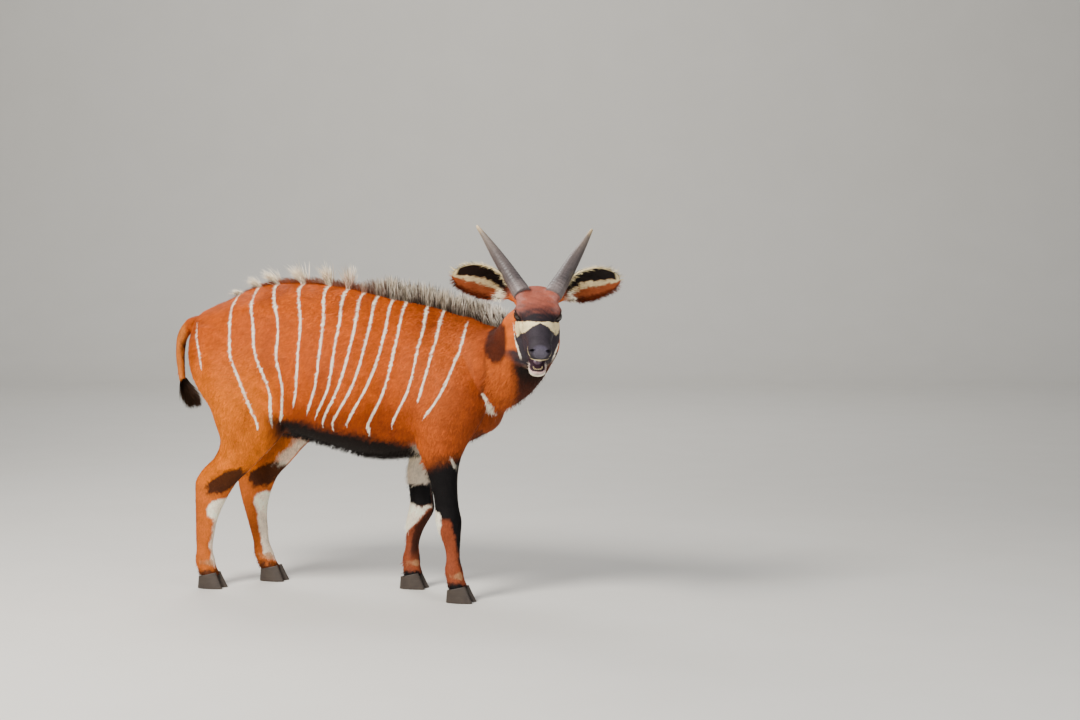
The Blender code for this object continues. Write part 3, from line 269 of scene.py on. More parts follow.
# the body under the hair, in rows from which sections are made
flesh = {
    # x, top, bottom, half width, height of the widest point, roundness of the back
    "trunk": [
        (-0.748, 1.030, 0.940, 0.035, 0.50, 2.0),
        (-0.715, 1.085, 0.845, 0.098, 0.50, 2.0),
        (-0.665, 1.115, 0.725, 0.150, 0.52, 2.0),
        (-0.580, 1.148, 0.650, 0.182, 0.54, 2.0),
        (-0.490, 1.190, 0.618, 0.202, 0.54, 1.9),
        (-0.390, 1.211, 0.610, 0.215, 0.50, 1.9),
        (-0.270, 1.216, 0.603, 0.232, 0.46, 1.9),
        (-0.120, 1.206, 0.572, 0.248, 0.44, 1.9),
        (0.020, 1.180, 0.543, 0.248, 0.44, 1.85),
        (0.130, 1.158, 0.540, 0.228, 0.45, 1.75),
        (0.260, 1.138, 0.558, 0.196, 0.46, 1.65),
        (0.380, 1.105, 0.590, 0.178, 0.45, 1.65),
        (0.480, 1.050, 0.632, 0.150, 0.45, 1.8),
        (0.550, 0.960, 0.690, 0.105, 0.45, 2.0),
        (0.575, 0.880, 0.760, 0.050, 0.50, 2.0),
    ],
    # height, rear, front, distance from the midline, half width
    "hindLeg": [
        (1.050, -0.680, -0.430, 0.085, 0.070),
        (0.960, -0.712, -0.340, 0.112, 0.098),
        (0.860, -0.694, -0.290, 0.130, 0.108),
        (0.760, -0.636, -0.272, 0.143, 0.104),
        (0.670, -0.590, -0.272, 0.150, 0.088),
        (0.590, -0.566, -0.325, 0.147, 0.068),
        (0.530, -0.596, -0.390, 0.140, 0.053),
        (0.475, -0.652, -0.448, 0.133, 0.044),
        (0.430, -0.684, -0.500, 0.128, 0.040),
        (0.385, -0.688, -0.535, 0.125, 0.041),
        (0.335, -0.689, -0.566, 0.122, 0.039),
        (0.280, -0.690, -0.592, 0.120, 0.033),
        (0.210, -0.691, -0.610, 0.119, 0.0290),
        (0.150, -0.690, -0.618, 0.118, 0.0280),
        (0.110, -0.694, -0.609, 0.118, 0.0335),
        (0.080, -0.684, -0.602, 0.118, 0.0325),
        (0.052, -0.673, -0.592, 0.118, 0.0350),
        (0.042, -0.660, -0.605, 0.118, 0.0240),
    ],
    "foreLeg": [
        (1.080, 0.215, 0.315, 0.040, 0.026),
        (0.980, 0.175, 0.440, 0.100, 0.064),
        (0.870, 0.180, 0.525, 0.128, 0.080),
        (0.770, 0.210, 0.545, 0.138, 0.080),
        (0.680, 0.245, 0.515, 0.142, 0.072),
        (0.610, 0.266, 0.470, 0.142, 0.064),
        (0.565, 0.275, 0.446, 0.139, 0.058),
        (0.500, 0.304, 0.428, 0.135, 0.051),
        (0.430, 0.322, 0.424, 0.130, 0.045),
        (0.365, 0.330, 0.428, 0.126, 0.042),
        (0.315, 0.331, 0.438, 0.124, 0.0445),
        (0.270, 0.340, 0.435, 0.122, 0.0385),
        (0.225, 0.361, 0.432, 0.121, 0.0295),
        (0.165, 0.372, 0.431, 0.120, 0.0260),
        (0.120, 0.366, 0.442, 0.120, 0.0320),
        (0.088, 0.374, 0.448, 0.120, 0.0310),
        (0.054, 0.383, 0.458, 0.120, 0.0350),
        (0.042, 0.395, 0.446, 0.120, 0.0240),
    ],
    # how far the left legs stand from the right ones along x, by height
    "foreStep": [(0.0, -0.285), (0.12, -0.268), (0.22, -0.250), (0.31, -0.208), (0.49, -0.190),
                 (0.60, -0.115), (0.80, -0.010), (1.10, 0.0)],
    "hindStep": [(0.0, 0.160), (0.12, 0.145), (0.42, 0.062), (0.60, 0.030), (0.80, 0.008), (1.10, 0.0)],
    # middle, half height, half width
    "neck": [
        (0.330, 0.000, 0.895, 0.215, 0.165),
        (0.440, -0.008, 0.895, 0.200, 0.148),
        (0.545, -0.055, 0.900, 0.172, 0.122),
        (0.640, -0.125, 0.930, 0.150, 0.105),
        (0.715, -0.178, 1.000, 0.140, 0.094),
        (0.765, -0.205, 1.080, 0.120, 0.082),
        (0.790, -0.232, 1.140, 0.085, 0.062),
    ],
    # along the face, top, bottom, half width, height of the widest point
    "upperHead": [
        (-0.050, -0.070, -0.110, 0.030, 0.50),
        (-0.030, -0.044, -0.128, 0.056, 0.50),
        (0.010, -0.016, -0.145, 0.072, 0.58),
        (0.055, -0.002, -0.155, 0.079, 0.66),
        (0.100, 0.004, -0.155, 0.082, 0.72),
        (0.145, 0.002, -0.146, 0.078, 0.72),
        (0.190, -0.004, -0.133, 0.067, 0.62),
        (0.240, -0.009, -0.116, 0.0565, 0.52),
        (0.290, -0.012, -0.104, 0.0495, 0.46),
        (0.325, -0.014, -0.099, 0.0470, 0.42),
        (0.350, -0.020, -0.096, 0.0450, 0.40),
        (0.368, -0.036, -0.090, 0.0350, 0.42),
        (0.376, -0.054, -0.078, 0.0160, 0.50),
    ],
    "lowerJaw": [
        (0.045, -0.110, -0.165, 0.030, 0.50),
        (0.075, -0.090, -0.182, 0.052, 0.50),
        (0.130, -0.088, -0.183, 0.058, 0.50),
        (0.190, -0.098, -0.170, 0.050, 0.50),
        (0.250, -0.102, -0.152, 0.0380, 0.50),
        (0.300, -0.099, -0.141, 0.0330, 0.50),
        (0.332, -0.095, -0.137, 0.0320, 0.50),
        (0.350, -0.098, -0.128, 0.0240, 0.50),
        (0.357, -0.105, -0.117, 0.0100, 0.50),
    ],
    # middle, half thickness, from the root down
    "tail": [
        (-0.690, 0.000, 1.055, 0.034, 0.050),
        (-0.755, 0.000, 1.043, 0.029, 0.036),
        (-0.797, 0.000, 0.998, 0.024, 0.027),
        (-0.810, 0.000, 0.935, 0.021, 0.023),
        (-0.808, 0.000, 0.865, 0.018, 0.020),
        (-0.798, 0.000, 0.800, 0.014, 0.016),
        (-0.786, 0.000, 0.768, 0.009, 0.010),
    ],
    # swellings and hollows, the same on both sides: middle, reach, height off the surface
    "forms": [
        ((0.250, 0.150, 0.960), (0.045, 0.060, 0.090), 0.010),  # shoulder blade
        ((0.505, 0.130, 0.800), (0.045, 0.045, 0.050), 0.012),  # point of the shoulder
        ((0.140, 0.215, 0.790), (0.030, 0.070, 0.120), -0.013),  # behind the shoulder
        ((0.330, 0.190, 0.720), (0.060, 0.050, 0.060), 0.010),  # upper arm
        ((-0.300, 0.200, 1.010), (0.060, 0.060, 0.045), -0.018),  # hollow of the flank
        ((-0.430, 0.160, 1.120), (0.035, 0.040, 0.030), 0.014),  # hip bone
        ((-0.715, 0.070, 0.960), (0.030, 0.035, 0.035), 0.012),  # seat bone
        ((-0.470, 0.230, 0.800), (0.090, 0.060, 0.090), 0.012),  # thigh
        ((-0.600, 0.190, 0.740), (0.022, 0.070, 0.120), -0.010),  # groove of the thigh
        ((-0.255, 0.190, 0.690), (0.045, 0.040, 0.050), 0.012),  # fold of the flank
        ((-0.100, 0.240, 0.800), (0.080, 0.060, 0.110), 0.006),  # last ribs
        ((0.300, 0.165, 0.940), (0.017, 0.050, 0.090), 0.005),  # ridge of the shoulder blade
        ((0.210, 0.180, 0.950), (0.022, 0.060, 0.090), -0.007),  # behind the blade
        ((0.400, 0.150, 0.930), (0.022, 0.050, 0.090), -0.006),  # before the blade
        ((0.265, 0.200, 0.745), (0.045, 0.050, 0.050), 0.008),  # triceps
        ((0.360, 0.190, 0.770), (0.013, 0.050, 0.060), -0.006),  # before the triceps
        ((0.272, 0.180, 0.610), (0.018, 0.030, 0.022), 0.006),  # elbow
        ((-0.500, 0.140, 1.090), (0.060, 0.060, 0.045), 0.006),  # rump muscle
        ((-0.610, 0.170, 0.930), (0.014, 0.060, 0.110), -0.006),  # behind the rump muscle
        ((-0.330, 0.185, 0.720), (0.030, 0.040, 0.040), 0.007),  # stifle
    ],
    "faceForms": [
        ((0.140, 0.070, -0.020), (0.026, 0.018, 0.012), 0.005),  # brow
        ((0.163, 0.084, -0.045), (0.012, 0.013, 0.008), -0.006),  # opening of the eye
        ((0.186, 0.066, -0.046), (0.014, 0.014, 0.014), -0.004),  # before the eye
        ((0.185, 0.055, -0.060), (0.022, 0.020, 0.012), -0.004),  # tear line
        ((0.190, 0.052, -0.085), (0.040, 0.020, 0.012), 0.004),  # ridge of the cheek
        ((0.250, 0.000, -0.006), (0.060, 0.020, 0.020), 0.003),  # bridge of the nose
        ((0.290, 0.045, -0.060), (0.030, 0.020, 0.022), -0.003),  # side of the muzzle
        ((0.090, 0.075, -0.055), (0.025, 0.020, 0.020), -0.006),  # temple
        ((0.345, 0.034, -0.092), (0.030, 0.016, 0.010), 0.003),  # upper lip
        ((0.150, 0.085, -0.080), (0.050, 0.014, 0.008), 0.003),  # cheek bone
        ((0.085, 0.075, -0.120), (0.035, 0.020, 0.030), 0.004),  # jaw muscle
    ],
    "grain": 0.0024,
    "triangles": 186000,
}


# Level rows of top, bottom, half width and widest height; the last column, if any, is the power above.
def levelGrid(name, rows, powerUp, powerDown, count=48):
    table = np.array(flesh[name])
    x = np.linspace(table[0, 0], table[-1, 0], rows)
    top, bottom, half, widest, *power = rowsAt(table, x)
    z = bottom + widest * (top - bottom)
    middle = np.stack((x, 0 * x, z), axis=1)
    powerUp = power[0] if power else powerUp
    return sections(middle, (0, 1, 0), (0, 0, 1), half, top - z, z - bottom, powerUp, powerDown, count)


def legGrid(name, side, step=None):
    table = np.array(flesh[name])[::-1]
    z = np.linspace(table[0, 0], table[-1, 0], 90)
    rear, front, y, half = rowsAt(table, z)
    move = smoothCurve(*np.array(flesh[step]).T, z) if step else 0 * z
    middle = np.stack(((rear + front) / 2 + move, side * y, z), axis=1)
    deep = (front - rear) / 2
    return sections(middle, (0, 1, 0), (1, 0, 0), half, deep, deep, 2.1, 2.1)


# Sections along a curved middle line, each square to it.
def bodyTube(name, count, hint, powerUp, powerDown):
    table = np.array(flesh[name])
    steps = np.linalg.norm(np.diff(table[:, :3], axis=0), axis=1)
    along = np.concatenate(([0.0], np.cumsum(steps)))
    rows = smoothCurve(along, table, np.linspace(0, along[-1], count))
    way = unit(np.gradient(rows[:, :3], axis=0))
    side = unit(np.cross(hint, way)) if hint else np.broadcast_to((0.0, 1.0, 0.0), way.shape)
    tall, half = rows[:, 3], rows[:, 4]
    return sections(rows[:, :3], side, np.cross(way, side), half, tall, tall, powerUp, powerDown)


def neckTube():
    return bodyTube("neck", 50, (0, 0, 1), 1.9, 2.0)


def headGrid(name):
    return levelGrid(name, 60, 2.3, 2.2)


# A lip is a roll from one corner of the mouth round its front to the other.
lips = {  # front, its step back to the corners, half width, height, its fall, radius, its fall
    "lower": (0.344, 0.078, 0.0265, -0.0985, 0.010, 0.0078, 0.0022),
    "upper": (0.361, 0.072, 0.0345, -0.0885, 0.0035, 0.0095, 0.0030),
}


def lipGrid(which):
    front, back, half, height, fall, radius, thinner = lips[which]
    turn = np.linspace(-math.pi / 2, math.pi / 2, 31)
    reach = np.abs(np.sin(turn)) ** 1.6
    path = np.stack((front - back * reach, half * np.sin(turn), height - fall * reach), axis=1)
    return tube(path, radius - thinner * reach)


# The ear: an outer arc and the inner arc of its cup in each section, from the root to the tip.
earShape = np.array([  # part of the length, width, depth, hollow from -1 to 1, forward bend
    (0.00, 0.28, 0.0140, -1.00, 0.000),
    (0.10, 0.34, 0.0180, -0.75, 0.000),
    (0.22, 0.56, 0.0260, 0.35, 0.000),
    (0.40, 0.92, 0.0330, 1.00, 0.002),
    (0.60, 1.00, 0.0290, 1.00, 0.006),
    (0.80, 0.86, 0.0200, 1.00, 0.012),
    (0.92, 0.60, 0.0120, 1.00, 0.016),
    (1.00, 0.26, 0.0075, 0.60, 0.018),
])


def earAxes(side):
    axis = unit(mirrored(head["earWay"], side))
    front = np.array((0.95, side * 0.22, -0.10))
    front = unit(front - axis * (front @ axis))
    return axis, front, np.cross(axis, front)


def earGrid(side):
    axis, front, across = earAxes(side)
    t = np.linspace(0, 1, 60)
    wide, deep, hollow, bend = rowsAt(earShape, t)[..., None]
    wide = wide * head["earWidth"] / 2
    u = t[:, None]
    middle = mirrored(head["earRoot"], side) + u * head["earLength"] * axis
    middle = middle - (0.020 * np.sin(math.pi * u) - bend) * front
    angle = np.linspace(-0.5 * math.pi, 0.5 * math.pi, 25)[None, :]
    wall = np.minimum(0.0058, 0.45 * wide)
    outer = (wide * np.sin(angle))[..., None] * across - (deep * np.cos(angle))[..., None] * front
    turn = angle[:, ::-1]
    innerWide = (wide - 0.35 * wall) * np.sin(turn) * 0.965
    innerDeep = hollow * (deep - wall) * np.cos(turn) - wall * (0.35 - 0.35 * np.abs(np.sin(turn)) ** 8)
    inner = innerWide[..., None] * across - innerDeep[..., None] * front
    return onHead(middle[:, None] + np.concatenate((outer, inner), axis=1))


def fleshGrids():
    grids = [
        levelGrid("trunk", 70, None, 2.15, 72),
        neckTube(),
        bodyTube("tail", 40, None, 2.0, 2.2),
        legGrid("hindLeg", -1), legGrid("hindLeg", 1, "hindStep"),
        legGrid("foreLeg", -1), legGrid("foreLeg", 1, "foreStep"),
        onHead(headGrid("upperHead")), onHead(openJaw(headGrid("lowerJaw"))),
        onHead(openJaw(lipGrid("lower"))), onHead(lipGrid("upper")),
        headBall((0.356, 0.0, -0.054), (0.018, 0.028, 0.028)),
    ]
    for side in (-1, 1):
        for place, radii in (
            ((0.105, 0.044, -0.120), (0.070, 0.034, 0.060)),  # jaw muscle
            ((0.185, 0.033, -0.128), (0.078, 0.022, 0.044)),  # corner of the mouth
            ((0.144, 0.061, -0.046), (0.044, 0.028, 0.035)),  # orbit
            ((0.066, 0.052, -0.018), (0.046, 0.036, 0.026)),  # seat of the horn
            ((0.022, 0.062, -0.066), (0.030, 0.026, 0.034)),  # seat of the ear
            ((0.345, 0.028, -0.050), (0.022, 0.018, 0.022)),  # wing of the nostril
        ):
            grids.append(headBall(mirrored(place, side), radii))
        grids.append(earGrid(side))
    return grids


def headShare(p):  # 1 on the face, falling to 0 behind the ears and down the throat
    local = inHead(p)
    return rampUp(local[:, 0], -0.06, 0.01) * rampUp(local[:, 2], -0.25, -0.20)


def earShare(p):  # 1 on the ears, with their length from 0 to 1, place across and which face
    local = inHead(p)
    side = np.where(local[:, 1] > 0, 1.0, -1.0)
    share, length = np.zeros(len(p)), np.zeros(len(p))
    across, facing = np.zeros(len(p)), np.zeros(len(p))
    for s in (-1, 1):
        axis, front, over = earAxes(s)
        q = local - mirrored(head["earRoot"], s)
        u = q @ axis / head["earLength"]
        wide, deep, hollow, bend = rowsAt(earShape, np.clip(u, 0, 1))
        forward = q @ front + 0.020 * np.sin(math.pi * np.clip(u, 0, 1)) - bend
        v = q @ over / (wide * head["earWidth"] / 2)
        mine = (side == s) & (np.abs(v) < 1.35) & (np.abs(forward + deep / 2) < 0.04) & (u < 1.10)
        here = mine * rampUp(u, 0.10, 0.22)
        wall = -(deep - 0.0029) * np.sqrt(np.clip(1 - np.clip(v, -1, 1) ** 2, 0, 1))
        share = np.where(here > 0, here, share)
        length = np.where(here > 0, u, length)
        across = np.where(here > 0, v, across)
        facing = np.where(here > 0, forward - wall, facing)
    return share, length, across, facing


def legPlace(p):  # which leg, place from rear to front (-1 to 1) and from inner to outer side
    side = np.where(p[:, 1] > 0, 1.0, -1.0)
    which = np.where(p[:, 0] > -0.08, 0, 1)
    u, v = np.zeros(len(p)), np.zeros(len(p))
    for number, (name, step) in enumerate((("foreLeg", "foreStep"), ("hindLeg", "hindStep"))):
        table = np.array(flesh[name])[::-1]
        rear, front, y, half = rowsAt(table, p[:, 2])
        move = np.where(side > 0, smoothCurve(*np.array(flesh[step]).T, p[:, 2]), 0)
        mine = which == number
        ahead = (p[:, 0] - (rear + front) / 2 - move) / np.maximum((front - rear) / 2, 1e-3)
        u = np.where(mine, ahead, u)
        v = np.where(mine, (side * p[:, 1] - y) / half, v)
    return which, u, v


def legShare(p):  # 1 on the legs below the belly, and on the tail
    low = rampUp(-p[:, 2], -0.58, -0.47)
    return np.maximum(low, rampUp(-p[:, 0], 0.755, 0.775))


def coatDepth(p):  # how far the skin lies under the hair's outline
    ears = earShare(p)[0]
    depth = 0.0055 - 0.0025 * legShare(p) - 0.0037 * headShare(p)
    return np.maximum(depth * (1 - ears), 0.0004)


ribs = {"height": 0.0013, "apart": 0.050, "lean": 0.28}


# Lifts each swelling and sinks each hollow: height * exp(-half the squared distance in reaches).
def formLift(p):
    lift = np.zeros(len(p))
    for where, forms in ((p, flesh["forms"]), (inHead(p), flesh["faceForms"])):
        for middle, reach, height in forms:
            for side in (-1, 1):
                away = (where - mirrored(middle, side)) / np.array(reach)
                lift += height * np.exp(-0.5 * np.sum(away**2, axis=1))
    # ribs, the hollow before the heel tendon and the groove before the tendons of the cannons
    x, z = p[:, 0], p[:, 2]
    share = rampUp(x, -0.30, -0.22) * rampUp(-x, -0.16, -0.08) * rampUp(z, 0.66, 0.76) * rampUp(-z, -1.06, -0.94)
    lift += ribs["height"] * np.sin(2 * math.pi * (x + ribs["lean"] * (z - 0.85)) / ribs["apart"]) * share
    which, u = legPlace(p)[:2]
    lift -= 0.0065 * (which == 1) * np.exp(-(((u + 0.25) / 0.26) ** 2) - ((z - 0.545) / 0.050) ** 2)
    lift -= 0.0020 * np.exp(-(((u + 0.10) / 0.22) ** 2)) * rampUp(z, 0.13, 0.16) * rampUp(-z, -0.29, -0.25)
    return lift


def keepLargest(thing):  # drops every closed surface but the one with the most vertices
    data = thing.data
    edges = np.empty(len(data.edges) * 2, np.int32)
    data.edges.foreach_get("vertices", edges)
    a, b = edges.reshape(-1, 2).T
    label = np.arange(len(data.vertices))
    while True:
        low = np.minimum(label[a], label[b])
        old = label.copy()
        np.minimum.at(label, a, low)
        np.minimum.at(label, b, low)
        label = label[label]
        if np.array_equal(old, label):
            break
    names, counts = np.unique(label, return_counts=True)
    drop = np.nonzero(label != names[counts.argmax()])[0]
    if len(drop):
        mesh = bmesh.new()
        mesh.from_mesh(data)
        mesh.verts.ensure_lookup_table()
        bmesh.ops.delete(mesh, geom=[mesh.verts[i] for i in drop], context="VERTS")
        mesh.to_mesh(data)
        mesh.free()


def fusedSkin():
    thing = meshFromGrids("skin", fleshGrids())
    fuse = thing.modifiers.new("fuse", "REMESH")
    fuse.mode = "VOXEL"
    fuse.voxel_size = flesh["grain"]
    bake(thing)
    report(f"skin fused, {len(thing.data.polygons)} faces")
    p = points(thing)
    soft = (1.0 - 0.5 * headShare(p)) * (1.0 - 0.9 * earShare(p)[0])
    weightGroup(thing, "soft", soft)
    soften = thing.modifiers.new("soften", "SMOOTH")
    soften.factor = 0.5
    soften.iterations = int(26 * (0.0045 / flesh["grain"]) ** 2)
    soften.vertex_group = "soft"
    bake(thing)
    p = points(thing)
    p += points(thing, "normal") * (formLift(p) * (1 - earShare(p)[0]))[:, None]
    setPoints(thing, p)
    chest = (p[:, 0] > 0.50) & (p[:, 2] > 0.66) & (p[:, 2] < 0.88)
    fine = np.maximum.reduce([0.80 * headShare(p), 0.80 * (earShare(p)[0] > 0), 0.50 * legShare(p),
                              0.70 * chest, np.full(len(p), 0.30)])
    weightGroup(thing, "plain", 1 - fine)
    thin = thing.modifiers.new("thin", "DECIMATE")
    thin.ratio = flesh["triangles"] / (2 * len(thing.data.polygons))
    thin.vertex_group = "plain"
    thin.vertex_group_factor = 0.06
    bake(thing)
    keepLargest(thing)
    thing.vertex_groups.clear()
    report(f"skin thinned to {len(thing.data.polygons)} faces")
    return thing


def eyeAxes(side):  # out of the eye, towards the nose and up
    out = unit(mirrored(head["eyeWay"], side))
    ahead = np.array((0.96, 0.0, -0.28))
    ahead = unit(ahead - out * (ahead @ out))
    return out, ahead, -side * np.cross(ahead, out)


lids = {"half": 0.0188, "above": 0.0112, "below": 0.0098, "roll": 0.0042}  # half length and heights


# Distance outside the almond of the opening: |rise| less a parabola in the place along it.
def lidDistance(q, ahead, rise):
    reach, lift = q @ ahead, q @ rise
    tall = np.where(lift > 0, lids["above"], lids["below"])
    slope = 2 * tall * reach / lids["half"] ** 2
    away = np.abs(lift) - tall * (1 - (reach / lids["half"]) ** 2)
    return away / np.sqrt(1 + slope**2), reach, lift


def fineZones(local):  # where the face is cut finer
    near = np.zeros(len(local), bool)
    for side in (-1, 1):
        near |= np.linalg.norm(local - mirrored(head["eye"], side), axis=1) < 0.034
    return near | ((local[:, 0] > 0.300) & (local[:, 2] > -0.24)) & (local[:, 0] < 0.42)


def refineFace(thing):
    near = fineZones(inHead(points(thing)))
    mesh = bmesh.new()
    mesh.from_mesh(thing.data)
    mesh.verts.ensure_lookup_table()
    edges = [edge for edge in mesh.edges if near[edge.verts[0].index] and near[edge.verts[1].index]]
    bmesh.ops.subdivide_edges(mesh, edges=edges, cuts=1, use_grid_fill=True)
    bmesh.ops.triangulate(mesh, faces=mesh.faces)
    mesh.to_mesh(thing.data)
    mesh.free()
    report(f"face refined, {len(thing.data.polygons)} faces")


nostril = {  # on the left side, in the head's frame
    "middle": (0.360, 0.0280, -0.0480),
    "way": (0.030, 0.0140, 0.0060),
    "long": (-0.35, 0.80, -0.48),
    "halves": (0.0110, 0.0058),
    "depth": 0.0150,
    "rim": 0.0013,
    "curl": 12.0,
}
# shallow folds that run back from the lips and round the corners of the mouth: line, height, reach
folds = [
    ([(0.322, 0.036, -0.072), (0.300, 0.042, -0.083), (0.270, 0.045, -0.095)], -0.0010, 0.0022),
    ([(0.215, 0.052, -0.062), (0.236, 0.047, -0.070), (0.262, 0.044, -0.074)], -0.0008, 0.0026),
    ([(0.345, 0.0, -0.070), (0.366, 0.0, -0.082)], -0.0016, 0.0016),
]


def shapeFace(thing):
    local, normal = inHead(points(thing)), points(thing, "normal") @ headMatrix
    radius = head["eyeRadius"]
    for side in (-1, 1):
        out, ahead, rise = eyeAxes(side)
        q = local - mirrored(head["eye"], side)
        away, reach, lift = lidDistance(q, ahead, rise)
        depth = q @ out
        near = (np.linalg.norm(q, axis=1) < 0.045) & (depth > 0)
        ball = np.sqrt(np.maximum(radius**2 - reach**2 - lift**2, (0.35 * radius) ** 2))
        snap = near & (np.abs(away) < 0.0006)
        local[snap] -= (away * np.sign(lift))[snap, None] * rise
        roll = np.clip(away / lids["roll"], 0, 1)
        upper = np.where(lift > 0, 0.0034, 0.0024)
        lid = ball + 0.0004 + upper * np.sqrt(np.clip(1 - (1 - roll) ** 2, 0, 1))
        lid = np.where(away < 0, ball + 0.0004 - 0.0050 * rampUp(-away, 0.0, 0.0016), lid)
        share = near * (1 - rampUp(away, lids["roll"], 0.0150))
        crease = 0.0014 * np.exp(-(((away - 0.0066) / 0.0013) ** 2)) * (lift > -0.004)
        crease += 0.0009 * np.exp(-(((away - 0.0092) / 0.0012) ** 2)) * (lift < 0.002)
        local += ((lid - depth) * share - crease * near)[:, None] * out
        # a comma-shaped pit with a raised rim
        way = unit(mirrored(nostril["way"], side))
        long = mirrored(nostril["long"], side)
        long = unit(long - way * (long @ way))
        q = local - mirrored(nostril["middle"], side)
        a, b = q @ long, q @ np.cross(way, long)
        b = b + nostril["curl"] * a**2
        ring = np.sqrt((a / nostril["halves"][0]) ** 2 + (b / nostril["halves"][1]) ** 2)
        near = np.abs(q @ way) < 0.020
        pit = near * np.where(ring < 1, 1 - ring**3, 0)
        rim = near * np.exp(-(((ring - 1.18) / 0.16) ** 2))
        local += (nostril["rim"] * rim - nostril["depth"] * pit)[:, None] * way
    for line, height, reach in folds:
        for side in (-1, 1):
            d = lineDistance(local, [mirrored(place, side) for place in line])[0]
            local += (height * np.exp(-((d / reach) ** 2)))[:, None] * normal
    setPoints(thing, onHead(local))


# Distance from each point to a broken line, and how far along it the nearest place is (0 to 1).
def lineDistance(p, line):
    line = np.asarray(line, float)
    best, share = np.full(len(p), 1e9), np.zeros(len(p))
    for i, (a, b) in enumerate(zip(line[:-1], line[1:])):
        t = np.clip((p - a) @ (b - a) / ((b - a) @ (b - a)), 0, 1)
        d = np.linalg.norm(p - a - t[:, None] * (b - a), axis=1)
        share = np.where(d < best, (i + t) / (len(line) - 1), share)
        best = np.minimum(best, d)
    return best, share


def colour(text):  # sRGB hex to linear
    c = np.array([int(text[i:i + 2], 16) for i in (1, 3, 5)]) / 255
    return np.where(c <= 0.04045, c / 12.92, ((c + 0.055) / 1.055) ** 2.4)


# Soft unevenness between -1 and 1: a sum of sine waves in fixed random directions.
def wobble(p, size, seed):
    dice = np.random.default_rng(seed)
    total = np.zeros(len(p))
    for i in range(7):
        way = unit(dice.normal(size=3)) * (2 * math.pi / size) * (0.6 + 0.25 * i)
        total += np.sin(p @ way + dice.uniform(0, 6.28)) / (1 + 0.35 * i)
    return total / 2.6


stripeHalf = 0.0046  # half the width of a stripe
stripeHeights = (1.20, 1.08, 0.95, 0.82, 0.68)
stripes = [  # x at those heights, lower end, upper end
    ((-0.720, -0.700, -0.635, -0.600, -0.560), 0.86, 1.07),
    ((-0.535, -0.513, -0.490, -0.425, -0.367), 0.63, 1.40),
    ((-0.450, -0.411, -0.385, -0.327, -0.312), 0.65, 1.40),
    ((-0.368, -0.305, -0.292, -0.262, -0.284), 0.66, 1.40),
    ((-0.258, -0.204, -0.193, -0.198, -0.240), 0.73, 1.40),
    ((-0.150, -0.108, -0.102, -0.115, -0.182), 0.70, 1.40),
    ((-0.072, -0.043, -0.044, -0.060, -0.142), 0.69, 1.40),
    ((-0.008, 0.019, 0.014, -0.020, -0.104), 0.65, 1.40),
    ((0.048, 0.074, 0.068, 0.032, -0.060), 0.64, 1.40),
    ((0.108, 0.134, 0.128, 0.086, 0.002), 0.66, 1.40),
    ((0.165, 0.184, 0.182, 0.155, 0.085), 0.62, 1.40),
    ((0.235, 0.275, 0.278, 0.250, 0.175), 0.655, 1.40),
    ((0.300, 0.335, 0.335, 0.308, 0.265), 0.76, 1.40),
    ((0.400, 0.440, 0.432, 0.392, 0.295), 0.70, 1.085),
]


# For each point: how many stripes lie behind it plus the share of the way to the next one, the
# width between those two, and how far it is inside the heights that the nearer one reaches.
def stripePlace(p):
    z = np.clip(p[:, 2], 0.62, 1.24)
    order = np.argsort(stripeHeights)
    heights = np.array(stripeHeights)[order]
    lines = np.array([np.array(row[0])[order] for row in stripes])
    x = np.stack([smoothCurve(heights, line, z) for line in lines])
    lean = np.stack([smoothCurve(heights, np.gradient(line, heights), z) for line in lines])
    count = len(lines)
    low = np.clip((x < p[:, 0]).sum(axis=0) - 1, 0, count - 2)
    each = np.arange(len(p))
    gap = x[low + 1, each] - x[low, each]
    share = np.clip((p[:, 0] - x[low, each]) / gap, -0.5, 1.5)
    near = np.clip(low + (share > 0.5), 0, count - 1)
    gap = gap / np.sqrt(1 + lean[near, each] ** 2)
    bottoms, tops = np.array([row[1:] for row in stripes]).T
    show = np.minimum(p[:, 2] - bottoms[near], tops[near] - p[:, 2])
    return low + share, gap, np.where(headShare(p) < 0.5, show, -0.1)


def stripeWidth(phase, show, half=stripeHalf):  # runs to a point at the ends; the rearmost is thinner
    width = half * rampUp(show, -0.004, 0.050) * np.where(np.round(phase) < 0.5, 0.6, 1.0)
    return width - 0.0014 * (1 - rampUp(show, 0.0, 0.016))


def stripeMask(p, half=stripeHalf):  # 1 on a stripe
    phase, gap, show = stripePlace(p)
    width = stripeWidth(phase, show, half) * (1 + 0.22 * wobble(p, 0.050, 5))
    return rampUp(width - np.abs(phase - np.round(phase)) * gap, -0.0012, 0.0012)


hues = {name: colour(text) for name, text in {
    "flank": "#bf5309", "back": "#c1560a", "shoulder": "#c25c20", "thigh": "#de7408", "belly": "#140b07",
    "white": "#fff3dc", "cream": "#f3dfac", "black": "#0f0c0d", "legBrown": "#94482a", "tan": "#bb8a60",
    "forehead": "#9c5443", "brow": "#231d21", "muzzle": "#332d33", "nose": "#565060", "cheek": "#c25d1e",
    "lip": "#dcb9b2", "mouth": "#2a1720", "earBack": "#6e2b0e", "earDark": "#160c09", "earFront": "#a4512a",
    "tail": "#c8702a", "crestDark": "#2f1a11", "paintedNeckShade": "#3a150c", "mahogany": "#742807",
    "legDark": "#241008", "hindLeg": "#c36320", "sheen": "#a2756c",
}.items()}


